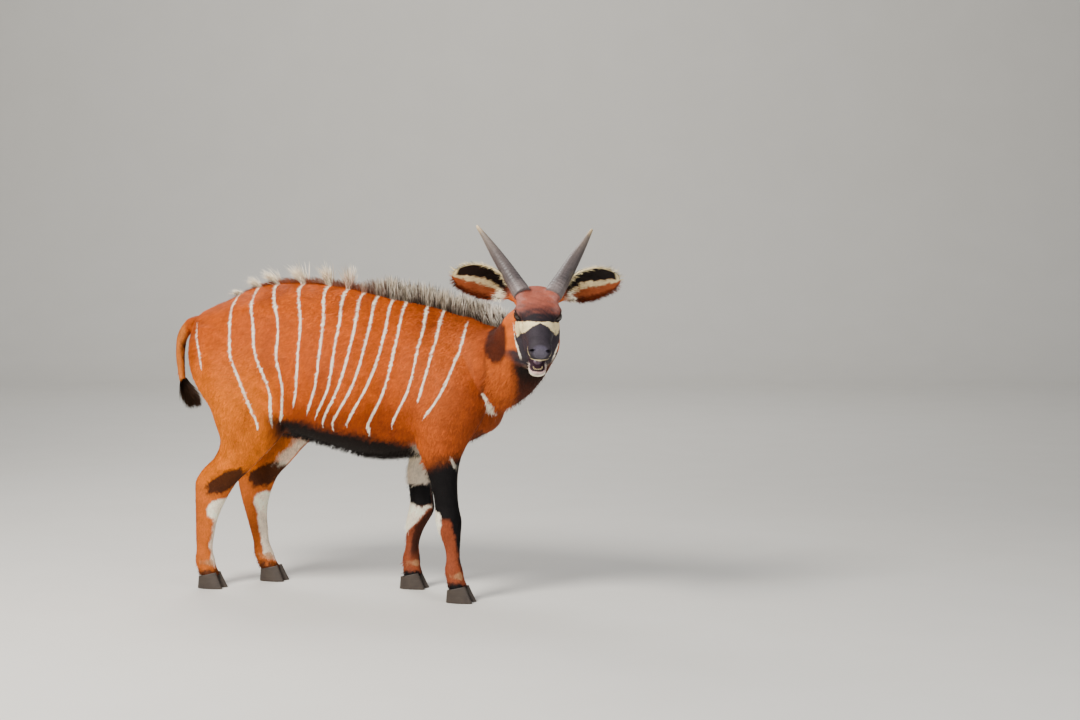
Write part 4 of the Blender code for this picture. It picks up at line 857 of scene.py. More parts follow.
def coatColour(p, normal, striped=True):
    x, y, z = p.T
    out = np.tile(hues["flank"], (len(p), 1))

    def paint(mask, name):
        out[:] += np.clip(mask, 0, 1)[:, None] * (hues[name] - out)

    rough = wobble(p, 0.030, 2)
    edge = 0.006 * rough
    ragged = 0.010 * wobble(p, 0.040, 21) + 0.004 * wobble(p, 0.010, 22)
    paint(0.85 * rampUp(z, 0.92, 1.18) * rampUp(-x, -0.15, 0.35), "back")
    paint(0.9 * rampUp(x, 0.14, 0.42), "shoulder")
    paint(0.85 * rampUp(-z, -1.06, -0.68) * rampUp(-x, 0.22, 0.40), "thigh")
    # deeper red in drifts over the ribs, under the crest and along the belly, and painted shade in the same red
    # at the front of the shoulder
    paint(0.35 * rampUp(wobble(p * (1, 1, 0.5), 0.16, 17), 0.0, 1.1), "mahogany")
    paint(0.55 * rampUp(x + 0.4 * (0.8 - z), 0.34, 0.52) * rampUp(-z, -1.00, -0.80)
          * rampUp(z, 0.50, 0.60), "mahogany")
    paint(0.45 * rampUp(x, 0.05, 0.30) * rampUp(z - 0.25 * (0.3 - x), 0.98, 1.12)
          * (1 - headShare(p)), "mahogany")
    paint(0.60 * rampUp(-np.abs(z - 0.68), -0.12, -0.02) * rampUp(-np.abs(x), -0.38, -0.15), "mahogany")
    # painted shade: a dark line in the fold where the neck meets each shoulder
    foldShadeLine = [(0.546, -0.153, 1.030), (0.563, -0.201, 0.900), (0.545, -0.179, 0.844), (0.533, -0.168, 0.797)]
    for side in (-1, 1):
        d = lineDistance(p * (1, side, 1), np.array(foldShadeLine) * (1, -1, 1))[0]
        paint(0.55 * rampUp(0.018 + ragged - d, 0, 0.016), "paintedNeckShade")
    paint(0.7 * rampUp(x + ragged, 0.53, 0.60) * rampUp(z, 0.72, 0.82), "cheek")
    # painted shade under the jaw: dark down the front of the throat, black right under the jaw
    throat = inHead(p)
    soft = 0.007 * wobble(p, 0.030, 23)
    deep = throat[:, 0] + 0.35 * throat[:, 2] + soft
    reach = np.interp(-throat[:, 2], (0.10, 0.17, 0.24, 0.32), (0.112, 0.106, 0.092, 0.078))
    under = rampUp(x, 0.53, 0.65) * rampUp(reach + soft - np.abs(throat[:, 1] + 0.01), 0, 0.045)
    jawShadeBand = under * rampUp(deep, -0.085, -0.01) * 4 * headShare(p) * (1 - headShare(p))
    under = under * (1 - headShare(p))
    paint(0.92 * under * rampUp(deep, -0.135, -0.03), "paintedNeckShade")
    paint(under * rampUp(deep, -0.085, -0.01) * rampUp(throat[:, 2], -0.40, -0.25), "belly")
    if striped:
        paint(stripeMask(p), "white")
    # the belly's black, up to a line that falls from the flank to the elbow
    line = np.interp(x, (-0.42, -0.345, -0.26, -0.10, 0.062, 0.194, 0.30, 0.42, 0.52),
                     (0.68, 0.690, 0.695, 0.655, 0.630, 0.608, 0.595, 0.62, 0.66))
    inside = rampUp(-x, -0.275, -0.235) * rampUp(x + ragged, -0.37, -0.27)
    inside = np.maximum(inside, rampUp(-np.abs(y), -0.095, -0.075) * (np.abs(x) < 0.56))
    paint(rampUp(line - z + ragged, -0.030, 0.022) * inside * (z > 0.42) * (x < 0.5), "belly")
    which, u, v = legPlace(p)
    leg = rampUp(-z, -0.62, -0.56) * rampUp(-np.abs(u), -1.55, -1.25) * rampUp(v, -1.9, -1.5)
    fore, hind = leg * (which == 0), leg * (which == 1)
    inner = rampUp(-v, 0.05, 0.35)
    level, across = z + ragged, u + 12 * ragged
    # fore legs: black outside down past the knee, white and black bands inside
    low = rampUp(-z, -0.56, -0.46)
    paint(fore * low, "legBrown")
    paint(0.9 * fore * (1 - inner) * rampUp(0.030 * u + 0.600 - level, 0, 0.090)
          * rampUp(level, 0.30, 0.34), "legDark")
    top = rampUp(0.030 * u + 0.545 - level, 0, 0.040)
    paint(fore * (1 - inner) * top * rampUp(level + 0.024 * u, 0.318, 0.338), "black")
    paint(fore * (1 - inner) * rampUp(across - 2.2 * (0.32 - z), 0.35, 0.60) * rampUp(0.345 - z, 0, 0.02)
          * rampUp(level, 0.100, 0.130), "black")
    paint(0.85 * fore * inner * rampUp(level, 0.400, 0.425), "white")
    bow = 0.012 * np.abs(u + 0.1)
    paint(fore * inner * rampUp(level, 0.318 + bow, 0.333 + bow) * rampUp(0.428 - level, 0, 0.014), "black")
    ahead = np.interp(z, (0.19, 0.24, 0.27, 0.32, 0.34), (-1.1, -0.3, 0.35, 0.7, 1.3))
    paint(fore * inner * rampUp(ahead - across, 0, 0.25) * rampUp(0.330 + bow - level, 0, 0.012), "white")
    paint(0.9 * fore * inner * rampUp(across, -0.15, 0.35) * rampUp(across - ahead, -0.10, 0.25)
          * rampUp(0.335 - level, 0, 0.02) * rampUp(z, 0.100, 0.160), "legDark")
    behind = np.interp(z, (0.20, 0.28, 0.345), (-1.05, -0.36, -0.10))
    paint(fore * rampUp(behind - across, 0, 0.20) * rampUp(0.345 - 0.020 * u - level, 0, 0.012)
          * rampUp(level, 0.200, 0.225) * (v < 0.9), "white")
    # hind legs: a dark patch over the hock, white before it and down the front
    paint(hind * rampUp(-z, -0.46, -0.38), "hindLeg")
    dark = np.hypot((z - 0.425 - 0.02 * u) / 0.055, (u - 0.45) / 0.75) + 14 * ragged
    dark = dark + 0.12 * wobble(p, 0.020, 24)
    paint(0.92 * hind * rampUp(-dark, -1.10, -0.75), "legDark")
    pale = np.hypot((z - 0.322) / 0.046, (u - 0.85) / 0.75) + 9 * ragged
    paint(hind * rampUp(-pale, -1.05, -0.80), "white")
    paint(0.9 * hind * rampUp(across - 0.5 * rampUp(v, -0.3, 0.2), 0.20, 0.42) * rampUp(0.330 - z, 0, 0.03)
          * rampUp(level, 0.075, 0.115), "white")
    paint(0.75 * hind * inner * rampUp(across, 0.35, 0.60) * rampUp(level, 0.455, 0.480), "white")
    # pasterns: a bristly dark band over each hoof, tan blots above it
    paint(fore * rampUp(-level, -0.085, -0.062), "black")
    paint(0.85 * hind * rampUp(-level, -0.088, -0.066), "legDark")
    blot = np.hypot((z - 0.104) / 0.018, (np.abs(v) - 0.55) / 0.45) + 14 * ragged
    paint(0.75 * (fore + hind) * rampUp(-blot, -1.0, -0.5) * (u > -0.3), "tan")
    # the crescent at the foot of the neck
    crescent = [(0.538, 0.168, 0.812), (0.541, 0.155, 0.795), (0.547, 0.128, 0.760),
                (0.552, 0.085, 0.734), (0.556, 0.030, 0.714)]
    for side in (-1, 1):
        d, share = lineDistance(p * (0.5, 1, 1), np.array(crescent) * (0.5, side, 1))
        wide = 0.0125 * np.sin(math.pi * np.clip(0.08 + 0.88 * share, 0, 1)) ** 0.8
        paint(rampUp(wide + 0.2 * edge - d, 0, 0.004) * (x > 0.46), "white")
    # painted highlight: a pale sheen on the swirl of hair at the front of each forearm
    curl = np.hypot((x - 0.419 + 0.2 * (z - 0.545)) / 0.007, (z - 0.545) / 0.030) + 9 * ragged
    paint(0.5 * rampUp(-curl, -1.0, -0.5) * (np.abs(y) > 0.12), "white")
    tail = rampUp(-x, 0.765, 0.780)
    paint(tail, "tail")
    paint(0.9 * tail * rampUp(x + 0.805 + 0.15 * (z - 0.9) + ragged, 0.004, 0.022)
          * rampUp(-z, -0.99, -0.95), "legDark")
    paintFace(p, normal, paint, rough)
    # painted shade: the muzzle's black in the band where the jaw meets the throat
    paint(jawShadeBand * (throat[:, 2] < -0.10), "muzzle")
    # painted shadow of the head, cast on the neck behind it
    patch = np.hypot((x - 0.606) / 0.062, (z - 1.010) / 0.084) + 0.08 * wobble(p, 0.045, 12)
    paint(0.92 * rampUp(-throat[:, 2], 0.120, 0.150) * rampUp(-patch, -1.10, -0.80), "paintedNeckShade")
    drawn = wobble(p * (0.45, 1.0, 0.7), 0.016, 27)
    uneven = 1 + 0.10 * wobble(p, 0.060, 3) + 0.09 * drawn + 0.06 * wobble(p, 0.012, 4)
    return np.clip(out * uneven[:, None], 0, 1)


# The face's marks follow lines seen from ahead: fall = s - 1.3 h runs down the face as the photo
# shows it, and w across it.
def paintFace(p, normal, paint, rough):
    local = inHead(p)
    s, w, h = local.T
    aw, fall = np.abs(w), s - 1.3 * h
    face = headShare(p) * (1 - earShare(p)[0])
    shut = closeJaw(local)
    jaw = face * rampUp(s, 0.10, 0.16)
    jaw = jaw * rampUp(-0.094 - 0.010 * rampUp(s, 0.16, 0.30) - h, 0.004, 0.010)
    edge = 0.0030 * rough + 0.0015 * wobble(p, 0.009, 9)
    front = rampUp(s, 0.085, 0.110)
    mottle = wobble(p, 0.020, 14)
    paint(face, "forehead")
    # painted highlight: a mottled violet-grey sheen over the upper face, stronger towards its sides
    paint(0.5 * face * rampUp(mottle + 1.5 * rampUp(aw, 0.03, 0.07), 0.4, 1.6) * (h > -0.06), "sheen")
    paint(face * rampUp(-h, 0.050, 0.075) * rampUp(aw, 0.030, 0.045) * rampUp(-s, -0.20, -0.10), "cheek")
    paint(face * rampUp(fall + 0.018 * mottle - 0.03 * rampUp(aw, 0.03, 0.09), 0.105, 0.225)
          * rampUp(s, 0.080, 0.130), "brow")
    # the white line down each cheek parts the dark muzzle from the chestnut
    path = np.interp(fall, (0.262, 0.361, 0.439, 0.505), (0.0955, 0.0876, 0.0714, 0.0593))
    path = path - 0.010 * (w < 0)
    within = rampUp(path + 0.5 * edge - aw, -0.002, 0.001)
    paint(face * rampUp(fall + edge, 0.250, 0.2535) * front, "cheek")
    gap = rampUp(path - 0.0065 + 0.8 * edge - aw, -0.001, 0.001)
    paint(face * rampUp(fall + edge, 0.250, 0.2535) * front * gap, "cream")
    dark = np.interp(fall, (0.255, 0.265, 0.280, 0.303, 0.330, 0.40),
                     (-0.004, 0.011, 0.028, 0.043, 0.066, 0.10))
    paint(face * within * rampUp(dark + edge - np.abs(w - 0.003), -0.0015, 0.0015) * (s > 0.15), "muzzle")
    outer = np.interp(fall, (0.25, 0.27, 0.32, 0.36, 0.40), (0.105, 0.0915, 0.0790, 0.0660, 0.050))
    paint(face * within * rampUp(aw + edge - outer, -0.0015, 0.0015) * rampUp(fall, 0.252, 0.258)
          * rampUp(s, 0.10, 0.13), "muzzle")
    # the nose pad in a lighter grey: its own colour and a painted highlight
    nose = rampUp(0.030 - np.linalg.norm((local - (0.366, 0, -0.050)) * (1, 0.85, 1), axis=1), 0, 0.010)
    paint(0.7 * face * nose, "nose")
    # cream along the upper lip and in a comma outside each nostril
    under = rampUp(-(normal @ headMatrix[:, 2]), 0.70, 0.85)
    paint(0.95 * face * rampUp(-h + 0.5 * edge, 0.0800, 0.0825) * rampUp(h, -0.1045, -0.1005)
          * rampUp(s, 0.290, 0.305) * (1 - jaw) * (1 - under) * (1 - 0.45 * rampUp(w, 0, 0.01)), "cream")
    ring = np.hypot(aw - 0.030, 0.8 * (h + 0.054))
    paint(0.7 * face * rampUp(0.0016 + 0.5 * edge - np.abs(ring - 0.0150), 0, 0.0015) * rampUp(aw, 0.032, 0.036)
          * (s > 0.325) * (h > -0.08) * rampUp(-h, 0.054, 0.062), "cream")
    # the cheek turns black behind the corner of the mouth
    paint(face * (1 - within) * rampUp(fall + 2 * edge, 0.405, 0.445) * rampUp(s, 0.10, 0.15), "muzzle")
    # the lower jaw: black at the sides, a white chin, a pale lip along its rim, dark within
    paint(jaw * rampUp(s, 0.14, 0.19) * within, "muzzle")
    paint(jaw * rampUp(shut[:, 0], 0.290, 0.312) * rampUp(-shut[:, 2], 0.104, 0.110), "white")
    rim = [(0.200, 0.048, 0), (0.250, 0.038, 0), (0.300, 0.033, 0), (0.332, 0.0315, 0),
           (0.350, 0.0235, 0), (0.357, 0, 0)]
    lower = lineDistance(np.abs(shut) * (1, 1, 0), rim)[0]
    upward = jaw * rampUp(normal @ headMatrix[:, 2], 0.0, 0.4) * rampUp(shut[:, 0], 0.250, 0.285)
    thin = 0.0038 * rampUp(-shut[:, 0], -0.350, -0.325)
    paint(upward * rampUp(shut[:, 0], 0.285, 0.325), "lip")
    paint(upward * rampUp(lower + 0.4 * edge, 0.0072 - thin, 0.0092 - thin), "mouth")
    roof = face * rampUp(-(normal @ headMatrix[:, 2]), 0.55, 0.8) * rampUp(s, 0.15, 0.20)
    roof = roof * rampUp(-h, 0.080, 0.088) * rampUp(h, -0.135, -0.120)
    paint(roof * rampUp(0.030 - aw, 0, 0.004) * rampUp(0.350 - s, 0, 0.01), "mouth")
    thick = np.interp(fall, (0.258, 0.27, 0.361, 0.439, 0.49, 0.51), (0, 0.0013, 0.0018, 0.0042, 0.0055, 0))
    start = np.interp(fall, (0.26, 0.30, 0.34, 0.40), (0.080, 0.098, 0.122, 0.132))
    for side in (-1, 1):
        paint(face * rampUp(thick + 0.5 * edge - np.abs(aw - path), 0, 0.002) * (side * w > 0)
              * rampUp(s - start, 0, 0.004), "white")
        out, ahead, rise = eyeAxes(side)
        q = local - mirrored(head["eye"], side)
        away, reach, lift = lidDistance(q, ahead, rise)
        near = (np.linalg.norm(q, axis=1) < 0.045) & (q @ out > 0)
        paint(near * rampUp(0.017 - away, 0, 0.008) * rampUp(lift, 0.004, 0.012)
              * rampUp(-reach, -0.004, 0.008), "lip")
        paint(near * rampUp(0.0062 - away, 0, 0.0030), "belly")
        # a chestnut spot before each eye, and painted shade: black in the pit of each nostril
        for spot, wide, hue in (((0.189, 0.055, -0.050), 0.009, "cheek"),
                                ((0.3635, 0.0300, -0.0480), 0.0085, "black")):
            d = np.linalg.norm(local - mirrored(spot, side), axis=1)
            paint(rampUp(wide - d, 0, 0.004), hue)
    ear, along, across, facing = earShare(p)
    up = -np.where(w > 0, 1.0, -1.0) * across
    paint(ear, "earBack")
    frontWay = np.where(w[:, None] > 0, headMatrix @ earAxes(1)[1], headMatrix @ earAxes(-1)[1])
    front = ear * (facing > -0.0002) * (np.sum(normal * frontWay, axis=1) > -0.3)
    paint(ear * rampUp(np.abs(across), 0.84, 0.94) * (1 - front), "earDark")
    ragged = up + 0.08 * rough + 0.06 * wobble(p, 0.010, 10)
    paint(front, "earFront")
    paint(front * rampUp(-ragged, 0.72, 0.95), "earBack")
    paint(front * rampUp(ragged, -0.12, 0.00), "earDark")
    paint(0.95 * front * rampUp(ragged, -0.46, -0.34) * rampUp(-ragged, 0.02, 0.12), "cream")
    paint(front * rampUp(0.30 - along + 0.05 * rough, 0, 0.06) * rampUp(0.05 - ragged, 0, 0.1), "white")
    paint(front * rampUp(up, 0.88, 0.94), "cream")
    paint(front * rampUp(along, 0.94, 0.98) * (up > -0.2), "cream")


def newMaterial(name):
    material = bpy.data.materials.new(name)
    material.use_nodes = True
    material.node_tree.nodes.clear()
    return material, material.node_tree


def addNode(tree, kind, links=None, **settings):
    node = tree.nodes.new(kind)
    for key, value in settings.items():
        setattr(node, key, value)
    for key, value in (links or {}).items():
        socket = node.inputs[key]
        if isinstance(value, bpy.types.NodeSocket):
            tree.links.new(value, socket)
        else:
            socket.default_value = value
    return node


def mathNode(tree, operation, *values):
    return addNode(tree, "ShaderNodeMath", dict(enumerate(values)), operation=operation).outputs[0]


def scaled(tree, value, factor, offset=None):  # value * factor + offset
    product = mathNode(tree, "MULTIPLY", value, factor)
    return product if offset is None else mathNode(tree, "ADD", product, offset)


def attribute(tree, name, what="Fac"):
    return addNode(tree, "ShaderNodeAttribute", attribute_name=name).outputs[what]


def stretchedNoise(tree, scale, detail=2.0):  # noise drawn out along one axis by its scales
    coords = addNode(tree, "ShaderNodeTexCoord").outputs["Object"]
    mapping = addNode(tree, "ShaderNodeMapping", {"Vector": coords, "Scale": scale})
    links = {"Vector": mapping.outputs[0], "Scale": 1.0, "Detail": detail}
    return addNode(tree, "ShaderNodeTexNoise", links).outputs["Fac"]


def mixValue(tree, share, first, second):
    return addNode(tree, "ShaderNodeMix", {0: share, 2: first, 3: second}, data_type="FLOAT").outputs[0]


def mixColour(tree, share, first, second, blend="MIX"):  # a hex text or a socket for each colour
    first, second = [(*colour(c), 1) if isinstance(c, str) else c for c in (first, second)]
    links = {0: share, 6: first, 7: second}
    return addNode(tree, "ShaderNodeMix", links, data_type="RGBA", blend_type=blend).outputs[2]


def shaded(tree, base, shade):  # a colour times a grey
    grey = addNode(tree, "ShaderNodeCombineColor", {0: shade, 1: shade, 2: shade}).outputs[0]
    return mixColour(tree, 1.0, base, grey, "MULTIPLY")


def colourRamp(tree, share, stops):  # stops are places from 0 to 1 with their colours
    node = addNode(tree, "ShaderNodeValToRGB", {0: share})
    elements = node.color_ramp.elements
    for spot, text in stops:
        stop = elements.new(spot) if 0 < spot < 1 else elements[-int(spot)]
        stop.color = (*colour(text), 1)
    return node.outputs[0]


def finish(tree, base, roughness, bump=None, strength=0.3, distance=0.001, **constants):
    more = {key.replace("_", " "): value for key, value in constants.items()}
    shader = addNode(tree, "ShaderNodeBsdfPrincipled", {"Base Color": base, "Roughness": roughness, **more})
    if bump is not None:
        raised = addNode(tree, "ShaderNodeBump", {"Height": bump, "Strength": strength, "Distance": distance})
        tree.links.new(raised.outputs[0], shader.inputs["Normal"])
    out = addNode(tree, "ShaderNodeOutputMaterial")
    tree.links.new(shader.outputs[0], out.inputs["Surface"])


# Short hair lying flat: two streaky noises, one drawn out along the body and one down the legs,
# mixed by the "legs" attribute; they shade the markings by about a tenth and raise 0.4 mm ridges.
def hideMaterial():
    material, tree = newMaterial("short_hair_hide")
    legs = attribute(tree, "legs")
    fine = mixValue(tree, legs, stretchedNoise(tree, (70, 420, 330)), stretchedNoise(tree, (420, 420, 60)))
    wide = mixValue(tree, legs, stretchedNoise(tree, (16, 60, 45), 3), stretchedNoise(tree, (60, 60, 14), 3))
    marks = attribute(tree, "markings", "Color")
    phase = attribute(tree, "stripePhase")
    away = mathNode(tree, "ABSOLUTE", mathNode(tree, "SUBTRACT", phase, mathNode(tree, "ROUND", phase)))
    away = mathNode(tree, "MULTIPLY", away, attribute(tree, "stripeGap"))
    ragged = scaled(tree, mathNode(tree, "SUBTRACT", fine, 0.5), 0.0030)
    edge = mathNode(tree, "ADD", mathNode(tree, "SUBTRACT", attribute(tree, "stripeHalf"), away), ragged)
    mask = addNode(tree, "ShaderNodeMapRange", {0: edge, 1: -0.0008, 2: 0.0008}, clamp=True).outputs[0]
    base = mixColour(tree, mask, marks, (*hues["white"], 1))
    shade = scaled(tree, fine, 0.60, scaled(tree, wide, 0.60))
    base = shaded(tree, base, mathNode(tree, "ADD", shade, 0.40))
    dry = scaled(tree, fine, 0.2, 0.52)
    wet = attribute(tree, "wet")
    finish(tree, base, mixValue(tree, wet, dry, 0.27), fine, 0.45, 0.0006,
           Specular_IOR_Level=mixValue(tree, wet, 0.16, 0.45))
    return material


# Hair of a tuft: its own colour, darkened at the root and lightened at the tip by "along".
def hairMaterial(name, roughness=0.62):
    material, tree = newMaterial(name)
    along = attribute(tree, "along")
    streak = stretchedNoise(tree, (260, 260, 260), 1)
    shade = mathNode(tree, "ADD", scaled(tree, along, 0.26, 0.78), scaled(tree, streak, 0.16))
    base = shaded(tree, attribute(tree, "markings", "Color"), shade)
    finish(tree, base, roughness, streak, 0.2, 0.0004, Specular_IOR_Level=0.14)
    return material


# Horn: growth rings from "along" and fine fibres along it, darker in the grooves, ivory at the tip.
def hornMaterial():
    material, tree = newMaterial("ringed_horn")
    along = attribute(tree, "along")
    streak = attribute(tree, "fibre")
    mottled = stretchedNoise(tree, (90, 90, 90), 4)
    base = colourRamp(tree, along, ((0.0, "#6d6260"), (0.10, "#4d4545"), (0.45, "#5a504d"),
                                    (0.80, "#77695d"), (0.92, "#b49a72"), (1.0, "#dec69c")))
    rings = mathNode(tree, "SINE", scaled(tree, along, 260.0))
    shade = scaled(tree, mottled, 0.9, scaled(tree, streak, 0.5))
    shade = mathNode(tree, "ADD", mathNode(tree, "ADD", shade, scaled(tree, rings, 0.10)), 0.35)
    height = scaled(tree, rings, 0.25, mathNode(tree, "ADD", mottled, streak))
    finish(tree, shaded(tree, base, shade), scaled(tree, mottled, 0.25, 0.34), height, 0.35, 0.0012)
    return material


# Hoof: level growth lines and upright fibres from drawn-out noises, dark grey-brown with pale dust.
def hoofMaterial():
    material, tree = newMaterial("hoof_horn")
    lines = stretchedNoise(tree, (8, 8, 420), 2)
    fibre = stretchedNoise(tree, (500, 500, 14), 2)
    dust = stretchedNoise(tree, (40, 40, 60), 4)
    base = mixColour(tree, lines, "#1d1815", "#3a302a")
    base = mixColour(tree, scaled(tree, dust, 0.45), base, "#5f5042")
    height = scaled(tree, lines, 0.7, scaled(tree, fibre, 0.3))
    finish(tree, base, scaled(tree, dust, 0.3, 0.38), height, 0.5, 0.0008)
    return material


# Eye: rings by the angle off its own axis ("ring"): wide dark pupil, brown iris, dark rim.
def eyeMaterial():
    material, tree = newMaterial("moist_eye")
    ring = attribute(tree, "ring")
    base = colourRamp(tree, ring, ((0.0, "#050405"), (0.30, "#060506"), (0.36, "#2a160c"), (0.52, "#3d2010"),
                                   (0.60, "#120a07"), (0.68, "#0d0807"), (1.0, "#5a4238")))
    flecks = stretchedNoise(tree, (900, 900, 900), 2)
    base = mixColour(tree, scaled(tree, flecks, 0.35), base, "#1a0e08")
    finish(tree, base, 0.05, IOR=1.4, Coat_Weight=0.6, Coat_Roughness=0.03)
    return material


# Wet flesh: small bumps of noise, pink-grey, with a broken gloss.
def tongueMaterial():
    material, tree = newMaterial("wet_tongue")
    grain = stretchedNoise(tree, (700, 700, 700), 2)
    patch = stretchedNoise(tree, (60, 60, 60), 3)
    base = mixColour(tree, patch, "#3a2835", "#5f4656")
    finish(tree, base, scaled(tree, grain, 0.3, 0.2), grain, 0.4, 0.0006)
    return material


# Teeth: ivory with faint stains drawn out down each tooth.
def toothMaterial():
    material, tree = newMaterial("tooth_enamel")
    stain = stretchedNoise(tree, (420, 420, 90), 3)
    finish(tree, mixColour(tree, stain, "#d9c9a3", "#b59c6d"), 0.28, stain, 0.15, 0.0003)
    return material


def floatData(thing, name, values):
    thing.data.attributes.new(name, "FLOAT", "POINT").data.foreach_set("value", np.asarray(values, np.float32))


def colourData(thing, name, values):
    rgba = np.column_stack((values, np.ones(len(values)))).astype(np.float32)
    thing.data.attributes.new(name, "FLOAT_COLOR", "POINT").data.foreach_set("color", rgba.ravel())


skin = fusedSkin()
refineFace(skin)
rest = points(skin)
setPoints(skin, rest - points(skin, "normal") * coatDepth(rest)[:, None])
shapeFace(skin)
rest = points(skin)
colourData(skin, "markings", coatColour(rest, points(skin, "normal"), False))
phase, gap, show = stripePlace(rest)
floatData(skin, "stripePhase", phase)
floatData(skin, "stripeGap", gap)
half = stripeWidth(phase, show)
floatData(skin, "stripeHalf", np.where(half > 0, half, -0.004))
floatData(skin, "legs", legShare(rest))
local = inHead(rest)
wetNose = rampUp(0.027 - np.linalg.norm((local - (0.368, 0, -0.055)) * (1, 0.9, 1), axis=1), 0, 0.010)
wetLip = (rampUp(closeJaw(local)[:, 0], 0.25, 0.28) * rampUp(-local[:, 2], 0.094, 0.100)
          * rampUp(local[:, 2], -0.150, -0.140) * rampUp(-np.abs(local[:, 1]), -0.032, -0.026))
floatData(skin, "wet", np.maximum(wetNose, wetLip) * headShare(rest))
report("skin coloured")


# An unwrap of the skin by its own shape, for the tufts' patches.
def unwrap(thing):
    thing.data.uv_layers.new(name="OFBake")
    bpy.context.view_layer.objects.active = thing
    thing.select_set(True)
    bpy.ops.object.mode_set(mode="EDIT")
    bpy.ops.mesh.select_all(action="SELECT")
    bpy.ops.uv.smart_project(angle_limit=math.radians(75), island_margin=0.002)
    bpy.ops.object.mode_set(mode="OBJECT")
    thing.select_set(False)


unwrap(skin)
report("skin unwrapped")

skinMaterial = hideMaterial()
skinPoints, skinNormals = points(skin), points(skin, "normal")
triangles = np.empty(len(skin.data.polygons) * 3, np.int32)
skin.data.loops.foreach_get("vertex_index", triangles)
triangles = triangles.reshape(-1, 3)
skinUv = np.empty(len(skin.data.loops) * 2, np.float32)
skin.data.uv_layers["OFBake"].uv.foreach_get("vector", skinUv)
skinUv = skinUv.reshape(-1, 3, 2)
corner = skinPoints[triangles]
faceNormal = np.cross(corner[:, 1] - corner[:, 0], corner[:, 2] - corner[:, 0])
faceArea = np.linalg.norm(faceNormal, axis=1) / 2
faceMiddle = corner.mean(axis=1)


def earSpread(ahead, out, up):  # a way of the ears' hair, mirrored from one to the other
    def wayAt(p):
        side = np.sign(inHead(p)[:, 1])
        return np.stack((np.full(len(p), ahead), side * out, np.full(len(p), up)), axis=1) @ headMatrix.T
    return wayAt


# The way the hair lies: back along the body, down the legs, up the face and out along the ears.
def hairWay(p):
    way = np.tile((-0.62, 0.0, -0.80), (len(p), 1))
    across = inHead(p)[:, 1]
    up = np.stack((-np.ones(len(p)), 0.5 * np.sign(across) * rampUp(np.abs(across), 0, 0.04),
                   0 * across), axis=1)
    for share, other in (
        (rampUp(-p[:, 2], -0.80, -0.55), np.array((-0.15, 0, -1.0))),  # legs
        (rampUp(p[:, 0], 0.50, 0.66), np.array((-0.55, 0.45, -0.75))),  # neck
        (headShare(p), up @ headMatrix.T),
        (earShare(p)[0], earSpread(*head["earWay"])(p)),
        (rampUp(-p[:, 0], 0.755, 0.775), np.array((0.05, 0, -1.0))),  # tail
    ):
        way = way * (1 - share[:, None]) + other * share[:, None]
    return unit(way)


def scatter(count, weight, seed):  # random places on the skin, by area times weight
    dice = np.random.default_rng(seed)
    share = faceArea * weight
    picked = dice.choice(len(share), size=count, p=share / share.sum())
    a, b = dice.random((2, count))
    flip = a + b > 1
    a, b = np.where(flip, 1 - a, a), np.where(flip, 1 - b, b)
    parts = np.stack((1 - a - b, a, b), axis=1)[..., None]
    spot = (corner[picked] * parts).sum(axis=1)
    normal = unit((skinNormals[triangles[picked]] * parts).sum(axis=1))
    return spot, normal, (skinUv[picked] * parts).sum(axis=1), dice


tuftPatch = 0.003  # each tuft's patch of the unwrap: its side one way and its share along the other


# Tufts as flat tapered strips: a root edge, a middle edge for each step, and a tip. The strip's
# middle line at share t is root + length * (way * t + normal * (lift * t - bend * t * t)).
def tufts(name, root, normal, way, length, width, lift, bend, hue, uv, steps=2, tip=None):
    count = len(root)
    side = unit(np.cross(way, normal))
    along = np.linspace(0, 1, steps + 1)
    verts, shares = [], []
    for t in along[:-1]:
        middle = root + length[:, None] * (way * t + normal * (lift * t - bend * t * t)[:, None])
        half = (width * 0.5 * (1.0 - 0.55 * t if t else 0.8))[:, None] * side
        verts += [middle - half, middle + half]
        shares += [t, t]
    verts.append(root + length[:, None] * (way + normal * (lift - bend)[:, None]))
    shares.append(1.0)
    each = len(verts)
    verts = np.stack(verts, axis=1).reshape(-1, 3)
    start = np.arange(count)[:, None] * each
    loops, sizes = [], []
    for k in range(steps - 1):
        loops.append(start + np.array([2 * k, 2 * k + 1, 2 * k + 3, 2 * k + 2]))
        sizes.append(4)
    loops.append(start + np.array([2 * steps - 2, 2 * steps - 1, 2 * steps]))
    sizes.append(3)
    loops = np.concatenate(loops, axis=1).ravel()
    data = bpy.data.meshes.new(name)
    data.vertices.add(len(verts))
    data.vertices.foreach_set("co", verts.astype(np.float32).ravel())
    data.loops.add(len(loops))
    data.loops.foreach_set("vertex_index", loops.astype(np.int32))
    totals = np.tile(sizes, count)
    starts = np.concatenate(([0], np.cumsum(totals)[:-1]))
    data.polygons.add(len(totals))
    data.polygons.foreach_set("loop_start", starts.astype(np.int32))
    data.update(calc_edges=True)
    thing = bpy.data.objects.new(name, data)
    bpy.context.scene.collection.objects.link(thing)
    shares = np.tile(shares, count)
    floatData(thing, "along", shares)
    marks = np.repeat(hue, each, axis=0)
    if tip is not None:
        blend = rampUp(shares, 0.15, 0.75)[:, None]
        marks = marks * (1 - blend) + np.repeat(tip, each, axis=0) * blend
    colourData(thing, "markings", marks)
    sign = np.array([-1, 1] * steps + [0])
    own = np.stack((np.tile(sign, count) * 0.5, shares - 0.5), axis=1) * tuftPatch
    patch = np.repeat(uv, each, axis=0) + own
    layer = data.uv_layers.new(name="OFBake")
    layer.uv.foreach_set("vector", patch[loops].astype(np.float32).ravel())
    return thing


def lay(way, normal, dice, spread):  # the way the hair lies, along the surface, unevenly
    flat = way + dice.normal(size=way.shape) * spread
    return unit(flat - normal * np.sum(flat * normal, axis=1, keepdims=True))


